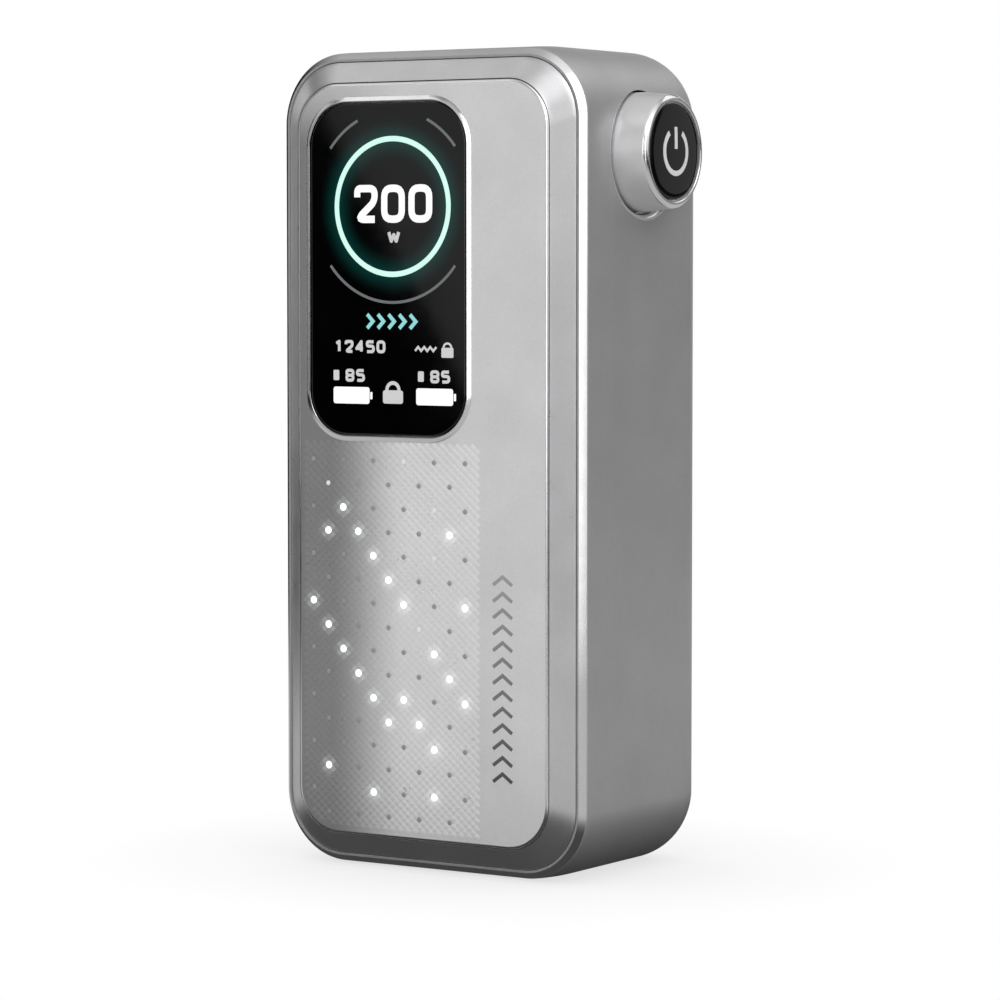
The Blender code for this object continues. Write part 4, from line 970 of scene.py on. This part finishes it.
def build_screen():
    dial = (DIAL_X / MM, DIAL_Z / MM)
    circle = arc(dial, DIAL_RADIUS / MM, 0, 360, 120)[:-1]
    arcs = [arc(dial, ARC_RADIUS, start, end, 40) for start, end in DIAL_ARCS]
    chevrons = [[(x, 64.85), (x + 0.8, 64.05), (x, 63.25)] for x in (1.5 * i - 7.4 for i in range(5))]
    wave = [(-0.7 + 0.42 * i, 60.8 + (0.35 if i % 2 else -0.1)) for i in range(8)]
    small_shackle = arc((3.78, 61.05), 0.55, 0, 180, 10)
    small_lock = ((add_bar, (2.95, 59.95), (4.6, 61.1)), (add_ribbon, small_shackle, 0.24))
    shackle = arc((-3.8, 56.1), 0.85, 0, 180, 12)
    lock = ((add_bar, (-5.2, 54.55), (-2.4, 56.1), 0.3), (add_ribbon, shackle, 0.42))
    levels = []
    for left, right in ((-12.2, -7.1), (-0.55, 4.55)):
        levels.append((add_bar, (left, 54.45), (right, 56.4), 0.3))
        levels.append((add_bar, (right + 0.1, 55.0), (right + 0.4, 55.85), 0.1))
    figures = []
    for left in (-12.2, -0.3):
        figures.append((add_bar, (left, 57.15), (left + 0.8, 58.35)))
        figures.append((add_figures, "85", (left + 1.7, 57.0), *SMALL_FIGURES))
    mark("dial_ring", SCREEN_MINT, (add_ribbon, circle, 0.62, True))
    mark("dial_arcs", SCREEN_GREY, *((add_ribbon, points, 0.32) for points in arcs))
    mark("reading", SCREEN_WHITE, (add_figures, "200", (-9.2, 75.4), (3.3, 4.4), 0.5, 0.85))
    mark("unit", SCREEN_SILVER, (add_figures, "W", (-4.55, 73.1), (1.8, 1.45), 0, 0.42))
    mark("mode_chevrons", SCREEN_TEAL, *((add_ribbon, points, 0.45) for points in chevrons))
    mark("counter", SCREEN_SILVER, (add_figures, "12450", (-12.1, 60.35), *SMALL_FIGURES))
    mark("status_icons", SCREEN_SILVER, (add_ribbon, wave, 0.26), *small_lock)
    mark("level_bars", SCREEN_WHITE, *levels)
    mark("level_figures", SCREEN_SILVER, *figures)
    mark("lock_icon", SCREEN_SILVER, *lock)


INK_LEVEL = FACE + 0.015 * MM
# The column of printed chevrons, in mm
INK_COUNT = 13
INK_FIRST = 11.6
INK_PITCH = 1.88
INK_LEFT = 9.95
INK_HALF = (1.29, 0.95)
INK_STROKE = 0.42


def build_ink():
    """A column of small chevrons printed beside the pattern, fading upwards."""
    bm = bmesh.new()
    for i in range(INK_COUNT):
        z = INK_FIRST + INK_PITCH * i
        tip = (INK_LEFT + INK_HALF[0], z + INK_HALF[1])
        add_ribbon(bm, INK_LEVEL, [(INK_LEFT, z), tip, (INK_LEFT + 2 * INK_HALF[0], z)], INK_STROKE)
    hand_over(new_piece("printed_chevrons", bm, ink_shader()), "housing")


def ink_shader():
    s = surface("chevron_ink", (0.10, 0.10, 0.105), 0.2, 0.42, bump=0.001, wear=0.0)
    s.set(Base_Color=s.mix(s.remap(s.axis("Z"), 12.0, 36.0), s.base(), (0.42, 0.42, 0.425)))
    return s.material


# ---------------------------------------------------------------- knob and connector


DOME_DROP = 0.2 * MM
DOME_RADIUS = 5.3 * MM
MARK_RADIUS = 2.5 * MM
MARK_STROKE = 0.6 * MM
MARK_GAP = 34.0
MARK_STEPS = 48
MARK_BAR_LOW = 0.3 * MM
MARK_BAR_STEPS = 8
MARK_RISE = 0.03 * MM
MARK_SINK = 0.04 * MM


# The knob's rounded rim: radius in mm, mm below its face, and 1 where it is polished
KNOB_RIM = (
    (5.75, 0.1, 1), (5.83, 0.02, 1), (5.95, 0.0, 1), (6.08, 0.02, 1),
    (6.2, 0.1, 1), (6.42, 0.32, 1), (6.5, 0.45, 0), (6.53, 0.6, 0),
)
KNOB_RECESS = 0.6 * MM
# Its hollow underside, from the outer wall to the shaft socket: radius and place along X in mm
KNOB_UNDERSIDE = ((5.5, 23.2), (3.4, 23.2), (3.4, 20.05), (2.1, 20.05), (2.1, 23.0), (0, 23.0))
KNOB_FOOT = 6.85 * MM
INLAY_GAP = 0.03 * MM
INLAY_EDGE = ((5.45 * MM, 0.26 * MM), (5.5 * MM, 0.34 * MM))
DOME_STEPS = 8


def build_knob():
    face, base, wall = KNOB_HIGH.x, KNOB_LOW.x, SHELL_HIGH.x
    profile = [(0, face - KNOB_RECESS), (5.75 * MM, face - KNOB_RECESS)]
    profile += [(radius * MM, face - depth * MM, paint) for radius, depth, paint in KNOB_RIM]
    profile += [(6.7 * MM, wall + 1.6 * MM), (KNOB_FOOT, wall + 0.4 * MM), (KNOB_FOOT, base + 0.1 * MM)]
    profile += [(KNOB_FOOT - 0.1 * MM, base), (5.5 * MM, base)]
    profile += [(radius * MM, x * MM) for radius, x in KNOB_UNDERSIDE]
    barrel = lathe("knob_body", profile, KNOB_CENTRE, "X", KNOB_SILVER, POLISHED)
    hand_over(soften(barrel), "knob", "knob_barrel")
    build_inlay()


def build_inlay():
    """The domed black end of the knob, with its mark."""
    top = INLAY_HIGH.x - INLAY_GAP
    dome = [(0, top)]
    for i in range(1, DOME_STEPS + 1):
        radius = DOME_RADIUS * i / DOME_STEPS
        dome.append((radius, dome_level(radius, top)))
    dome += [(radius, top - depth) for radius, depth in INLAY_EDGE]
    dome += [(INLAY_EDGE[-1][0], INLAY_LOW.x), (0, INLAY_LOW.x)]
    inlay = lathe("knob_face", dome, KNOB_CENTRE, "X", INLAY_BLACK)
    hand_over(soften(inlay), "knob", "knob_inlay")
    build_knob_mark(top)


def dome_level(radius, top):
    """The height of the domed inlay at a distance from its middle."""
    return top - DOME_DROP * (radius / DOME_RADIUS) ** 2


def build_knob_mark(top):
    """The standard power symbol, a ring with a gap and an upright bar, standing just proud of the dome."""
    half = MARK_STROKE / 2
    gap = math.radians(MARK_GAP)
    ring_side = []
    for i in range(MARK_STEPS + 1):
        angle = math.pi / 2 + gap + (2 * math.pi - 2 * gap) * i / MARK_STEPS
        aim = Vector((math.cos(angle), math.sin(angle)))
        ring_side.append((aim * (MARK_RADIUS - half), aim * (MARK_RADIUS + half)))
    bar_side = []
    for i in range(MARK_BAR_STEPS + 1):
        z = MARK_BAR_LOW + (MARK_RADIUS + half - MARK_BAR_LOW) * i / MARK_BAR_STEPS
        bar_side.append((Vector((-half, z)), Vector((half, z))))
    bm = bmesh.new()
    _, y, z = KNOB_CENTRE
    for stations in (ring_side, bar_side):
        rows = []
        for inner, outer in stations:
            corners = ((inner, -MARK_SINK), (outer, -MARK_SINK), (outer, MARK_RISE), (inner, MARK_RISE))
            places = [(dome_level(p.length, top) + rise, y + p.x, z + p.y) for p, rise in corners]
            rows.append([bm.verts.new(place) for place in places])
        skin(bm, rows)
    hand_over(new_piece("power_symbol", bm, INLAY_MARK), "knob")


# The socket's mouth, flange edge and body: radius in mm, and mm below its top face
SOCKET_MOUTH = ((3.75, 0.12), (3.9, 0.03), (4.05, 0.0))
SOCKET_EDGE = ((8.1, 0.0), (8.25, 0.04), (8.36, 0.15), (8.4, 0.3), (8.4, 0.7), (4.6, 0.7))
GROOVE_RADII = (4.6, 5.4, 6.2, 7.0)
GROOVE = ((0.0, 0.0), (0.1, 0.08), (0.2, 0.08), (0.3, 0.0))
SOCKET_SHANK = 4.6 * MM
SOCKET_BORE = 3.0 * MM
THREAD_RELIEF = 3.55 * MM
THREAD_ROOT = 3.75 * MM
THREAD_DEPTH = 0.22 * MM
THREAD_PITCH = 0.7 * MM
THREAD_FLOOR = 89.6 * MM
THREAD_START = 89.9 * MM


def thread_profile(top):
    """Turned grooves that stand for the socket's thread."""
    crest = THREAD_ROOT - THREAD_DEPTH
    profile = []
    level = THREAD_START
    while level + THREAD_PITCH < top - 0.3 * MM:
        profile += [(THREAD_ROOT, level), (THREAD_ROOT, level + 0.12 * MM)]
        profile += [(crest, level + 0.32 * MM), (crest, level + 0.42 * MM)]
        level += THREAD_PITCH
    return profile + [(THREAD_ROOT, level + 0.05 * MM)]


def build_connector():
    top, bottom = FLANGE_HIGH.z, FLANGE_LOW.z
    flange = list(SOCKET_MOUTH)
    for radius in GROOVE_RADII:
        flange += [(radius + out, depth) for out, depth in GROOVE]
    flange += SOCKET_EDGE
    profile = [(radius * MM, top - depth * MM) for radius, depth in flange]
    profile += [(SOCKET_SHANK, bottom), (SOCKET_BORE, bottom), (SOCKET_BORE, THREAD_FLOOR)]
    profile += [(THREAD_RELIEF, THREAD_FLOOR), *thread_profile(top)]
    body = lathe("socket_body", profile, SOCKET_CENTRE, "Z", STEEL, closed=True)
    hand_over(soften(body), "housing", "connector_body")


# ---------------------------------------------------------------- springs

# Each spring's node, the joint that presses it, its wire radius in mm and its turns
SPRINGS = (
    ("contact_spring_left", "contact_press_left", 0.15, 2.5),
    ("contact_spring_right", "contact_press_right", 0.15, 2.5),
    ("knob_spring", "knob_press", 0.2, 3.0),
    ("connector_spring", "output_pin_press", 0.15, 3.5),
)
COIL_STEPS = 36
WIRE_SIDES = 10


def coil_mesh(centre, axis, radius, wire, start, end, turns):
    """A helix of round wire about one axis, with capped ends."""
    across, up = [i for i in range(3) if i != axis]
    total = round(turns * COIL_STEPS)
    rise = (end - start - 2 * wire) / total
    bm = bmesh.new()
    rows = []
    for i in range(total + 1):
        turn = 2 * math.pi * i / COIL_STEPS
        row = []
        for k in range(WIRE_SIDES):
            side = 2 * math.pi * k / WIRE_SIDES
            reach = radius + wire * math.cos(side)
            point = Vector(centre)
            point[axis] = start + wire + rise * i + wire * math.sin(side)
            point[across] += reach * math.cos(turn)
            point[up] += reach * math.sin(turn)
            row.append(bm.verts.new(point))
        rows.append(row)
    skin(bm, rows)
    return bm


def build_springs():
    """The springs: a coil of round wire filling each spring node's box along its joint's axis."""
    for node, joint_name, wire_mm, turns in SPRINGS:
        joint = next(j for j in frame["joints"] if j["name"] == joint_name)
        aim = Vector(joint["axis"])
        axis = max(range(3), key=lambda i: abs(aim[i]))
        low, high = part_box(node)
        wire = wire_mm * MM
        middle = (low + high) / 2
        radius = max((high - low)[i] for i in range(3) if i != axis) / 2 - wire
        bm = coil_mesh(middle, axis, radius, wire, low[axis], high[axis], turns)
        spring = new_piece(f"{node}_coil", bm, STEEL)
        anchor = Vector(middle)
        anchor[axis] = high[axis] if aim[axis] > 0 else low[axis]
        hand_over(spring, "housing", node)
        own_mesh(spring)


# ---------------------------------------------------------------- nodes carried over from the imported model

CARRIED = {
    BLACK_PLASTIC: ("battery_cradle", "usb_tongue", "encoder_body", "switch_button"),
    NICKEL: (
        "bridge_plate",
        *(f"cell_{side}_{piece}" for side in ("left", "right") for piece in ("can", "cap")),
        *("keeper_plate_lower", "keeper_plate_upper"),
        *(f"cover_magnet_{corner}" for corner in CORNERS),
    ),
    STEEL: (
        *("connector_nut", "knob_bush", "knob_shaft", "press_switch", "shaft_clip"),
        *("thrust_washer", "usb_socket"),
        *(f"frame_screw_{corner}" for corner in CORNERS),
    ),
    GOLD: ("connector_pin", "contact_plunger_left", "contact_plunger_right"),
    INSULATOR: ("connector_insulator", "encoder_rotor"),
    WRAP: ("cell_left_sleeve", "cell_right_sleeve"),
    BOARD: ("main_board", "led_board", "knob_board"),
    CHIP: ("control_chip", "power_chip"),
    FERRITE: ("power_inductor_left", "power_inductor_right"),
    FLEX: ("display_flex",),
    GUIDE: ("light_guide",),
    LED: ("led_bar",),
    DISPLAY: ("display_module",),
    RUBBER: ("connector_seal",),
    RED_WIRE: ("positive_lead",),
    BLACK_WIRE: ("negative_lead",),
}
UNBEVELLED = ("lead", "flex", "sleeve")


def dress_carried():
    for paint, names in CARRIED.items():
        for name in names:
            node = frame["nodes"][name]
            node.data.materials.clear()
            node.data.materials.append(paint)
            small = 0.0 if any(word in name for word in UNBEVELLED) else 0.06 * MM
            soften(node, small, weld=True)


# ---------------------------------------------------------------- studio and camera

# The camera looks at a point near the middle of the body
CAMERA_TARGET = Vector((1.2 * MM, 0, 42.8 * MM))
CAMERA_AROUND = 33.0
CAMERA_UP = 3.5
CAMERA_DISTANCE = 0.46
CAMERA_LENS = 140


def towards(around, up):
    """A direction: degrees round from -Y towards +X, and degrees above level."""
    a, e = math.radians(around), math.radians(up)
    return Vector((math.sin(a) * math.cos(e), -math.cos(a) * math.cos(e), math.sin(e)))


def place_aimed(name, data, centre, around, up, distance):
    """Puts a camera or a light at a distance from a centre, looking at it."""
    obj = bpy.data.objects.new(name, data)
    obj.location = centre + towards(around, up) * distance
    obj.rotation_euler = towards(around, up).to_track_quat("Z", "Y").to_euler()
    bpy.context.scene.collection.objects.link(obj)
    return obj


def build_camera():
    data = bpy.data.cameras.new("camera")
    data.lens = CAMERA_LENS
    data.sensor_width = 36.0
    data.clip_start = 0.01
    data.clip_end = 20.0
    camera = place_aimed("camera", data, CAMERA_TARGET, CAMERA_AROUND, CAMERA_UP, CAMERA_DISTANCE)
    bpy.context.scene.camera = camera


# Soft boxes: name, direction round from -Y towards +X, elevation, distance, width, height, watts
STUDIO = (
    ("front", 5, 5, 0.75, 0.35, 0.60, 1.8),
    ("key", 30, 45, 0.75, 0.70, 0.35, 0.5),
    ("edge", 57, 4, 0.30, 0.04, 0.32, 0.06),
    ("bezel", -37, 27, 0.75, 0.20, 0.20, 0.1),
    ("right_front", 38, 2, 0.75, 0.22, 0.50, 0.2),
    ("right", 95, 5, 0.75, 0.60, 0.60, 0.4),
    ("rear_right", 150, 4, 0.75, 0.35, 0.60, 0.2),
    ("rear", -160, 4, 0.75, 0.70, 0.60, 0.8),
    ("left", -92, 5, 0.75, 0.30, 0.60, 0.4),
    ("left_front", -62, 8, 0.75, 0.22, 0.60, 0.2),
    ("top_front", -55, 48, 0.75, 0.45, 0.40, 0.2),
    ("top_right", 70, 40, 0.75, 0.45, 0.35, 0.4),
    ("top_rear", 160, 40, 0.75, 0.45, 0.35, 0.4),
)
STUDIO_CENTRE = Vector((0, 0, 0.048))


def build_lights():
    for name, around, up, distance, width, height, watts in STUDIO:
        data = bpy.data.lights.new(name, "AREA")
        data.shape = "RECTANGLE"
        data.size, data.size_y = width, height
        data.energy = watts
        light = place_aimed(name, data, STUDIO_CENTRE, around, up, distance)
        light.visible_camera = False


def lens_reflection(x, z, card_y):
    """Where the camera sees a plane at card_y reflected in the lens at (x, z)."""
    eye = CAMERA_TARGET + towards(CAMERA_AROUND, CAMERA_UP) * CAMERA_DISTANCE
    point = Vector((x, LENS_FACE, z))
    ray = point - eye
    bounced = Vector((ray.x, -ray.y, ray.z))
    return point + bounced * ((card_y - LENS_FACE) / bounced.y)


CARD_Y = -0.60
CARD_WIDTH = 0.45
CARD_OVERSHOOT = 0.22
CARD_UNDERSHOOT = 0.03
CARD_STRENGTH = 0.5
# Two points on the glass that the edge of the reflected soft box runs through
WEDGE_UPPER = (-12.6 * MM, 87 * MM)
WEDGE_LOWER = (5.2 * MM, 59 * MM)


def build_card():
    """The main front soft box. Its slanting edge shows as a diagonal in the glass."""
    upper = lens_reflection(*WEDGE_UPPER, CARD_Y)
    lower = lens_reflection(*WEDGE_LOWER, CARD_Y)
    along = (lower - upper).normalized()
    across = Vector((-along.z, 0, along.x))
    if across.x < 0:
        across = -across
    start = upper - along * CARD_OVERSHOOT
    end = lower + along * CARD_UNDERSHOOT
    bm = bmesh.new()
    corners = (start, end, end + across * CARD_WIDTH, start + across * CARD_WIDTH)
    bm.faces.new([bm.verts.new(c) for c in corners])
    made = bpy.data.materials.new("soft_box")
    nodes = Nodes(cleared_tree(made))
    nodes.add("OutputMaterial", nodes.add("Emission", None, CARD_STRENGTH))
    card = new_piece("front_card", bm, made)
    card.visible_camera = False


def cleared_tree(owner):
    owner.use_nodes = True
    owner.node_tree.nodes.clear()
    return owner.node_tree


BACKDROP = 1.0
DIFFUSE_SKY = 0.4

# Broad glows above, to the right and between: direction round, elevation, cosine at the edge, strength
GLOWS = ((0, 90, 0.2, 0.6), (75, 10, 0.5, 0.6), (60, 50, 0.6, 0.6))


def build_world():
    """White for the camera. Reflections see broad soft glows, and matt surfaces an even sky as well."""
    world = bpy.data.worlds.new("studio")
    bpy.context.scene.world = world
    nodes = Nodes(cleared_tree(world))
    place = nodes.add("TexCoord", output="Generated")
    total = nodes.maths("MULTIPLY", nodes.add("LightPath", output="Is Diffuse Ray"), DIFFUSE_SKY)
    for around, up, edge, strength in GLOWS:
        dot = nodes.vector("DOT_PRODUCT", place, towards(around, up), output="Value")
        glow = nodes.maths("MULTIPLY", nodes.remap(dot, edge, 1.0, smooth=True), strength)
        total = nodes.maths("ADD", total, glow)
    surroundings = nodes.add("Background", None, total)
    seen = nodes.add("Background", (1, 1, 1, 1), BACKDROP)
    is_camera = nodes.add("LightPath", output="Is Camera Ray")
    nodes.add("OutputWorld", nodes.add("MixShader", is_camera, surroundings, seen))


FLOOR_RADIUS = 6.0
CONTACT_REACH = 0.03
CONTACT_DARKEST = 0.72
FLOOR_GLOW = 0.5
# The floor's painted light in reflections: painted shadow by the base, where the glow rises over one stretch
# of distance, and a painted pool of light that fades over another
RISE_FROM, RISE_TO = 0.006, 0.03
RISE_LEAST = 0.12
FADE_FROM, FADE_TO = 0.12, 0.30
DEPTH_SHARE = 0.35


def build_floor():
    """A pale floor disc: white to the camera with a soft contact shadow, and in reflections a painted pool
    of light with painted shadow by the base.
    """
    bm = bmesh.new()
    bmesh.ops.create_circle(bm, cap_ends=True, segments=96, radius=FLOOR_RADIUS)
    new_piece("floor", bm, floor_material())


def floor_distance(nodes):
    """How far a point on the floor lies outside the base, counted less along the depth."""
    outside = nodes.vector("ABSOLUTE", nodes.add("TexCoord", output="Object"))
    past = nodes.vector("SUBTRACT", outside, (SIZE[0] / 2, REAR, 0))
    weighted = nodes.vector("MULTIPLY", nodes.vector("MAXIMUM", past), (1, DEPTH_SHARE, 0))
    return nodes.vector("LENGTH", weighted, output="Value")


def floor_material():
    """White with a contact shadow to the camera. Other rays see painted shadow by the object and a painted
    pool of light beyond.
    """
    made = bpy.data.materials.new("pale_floor")
    nodes = Nodes(cleared_tree(made))
    occlusion = nodes.add("AmbientOcclusion", None, CONTACT_REACH, samples=8, output="AO")
    seen = nodes.add("Emission", None, nodes.remap(occlusion, 0.0, 1.0, CONTACT_DARKEST, 1.0))
    distance = floor_distance(nodes)
    # Painted light in reflections: painted shadow close to the base, a painted pool of light beyond it
    rise = nodes.remap(distance, RISE_FROM, RISE_TO, RISE_LEAST, 1.0, smooth=True)
    fade = nodes.remap(distance, FADE_FROM, FADE_TO, 1.0, 0.0, smooth=True)
    strength = nodes.maths("MULTIPLY", nodes.maths("MULTIPLY", rise, fade), FLOOR_GLOW)
    glow = nodes.add("Emission", None, strength)
    is_camera = nodes.add("LightPath", output="Is Camera Ray")
    nodes.add("OutputMaterial", nodes.add("MixShader", is_camera, glow, seen))
    return made


# ---------------------------------------------------------------- build

build_shell()
build_cover()
build_band()
build_plate()
build_lens()
build_studs()
build_dots()
build_screen()
build_ink()
build_knob()
build_connector()
build_springs()
dress_carried()
build_camera()
build_lights()
build_card()
build_world()
build_floor()
bpy.context.scene.view_settings.view_transform = "Standard"
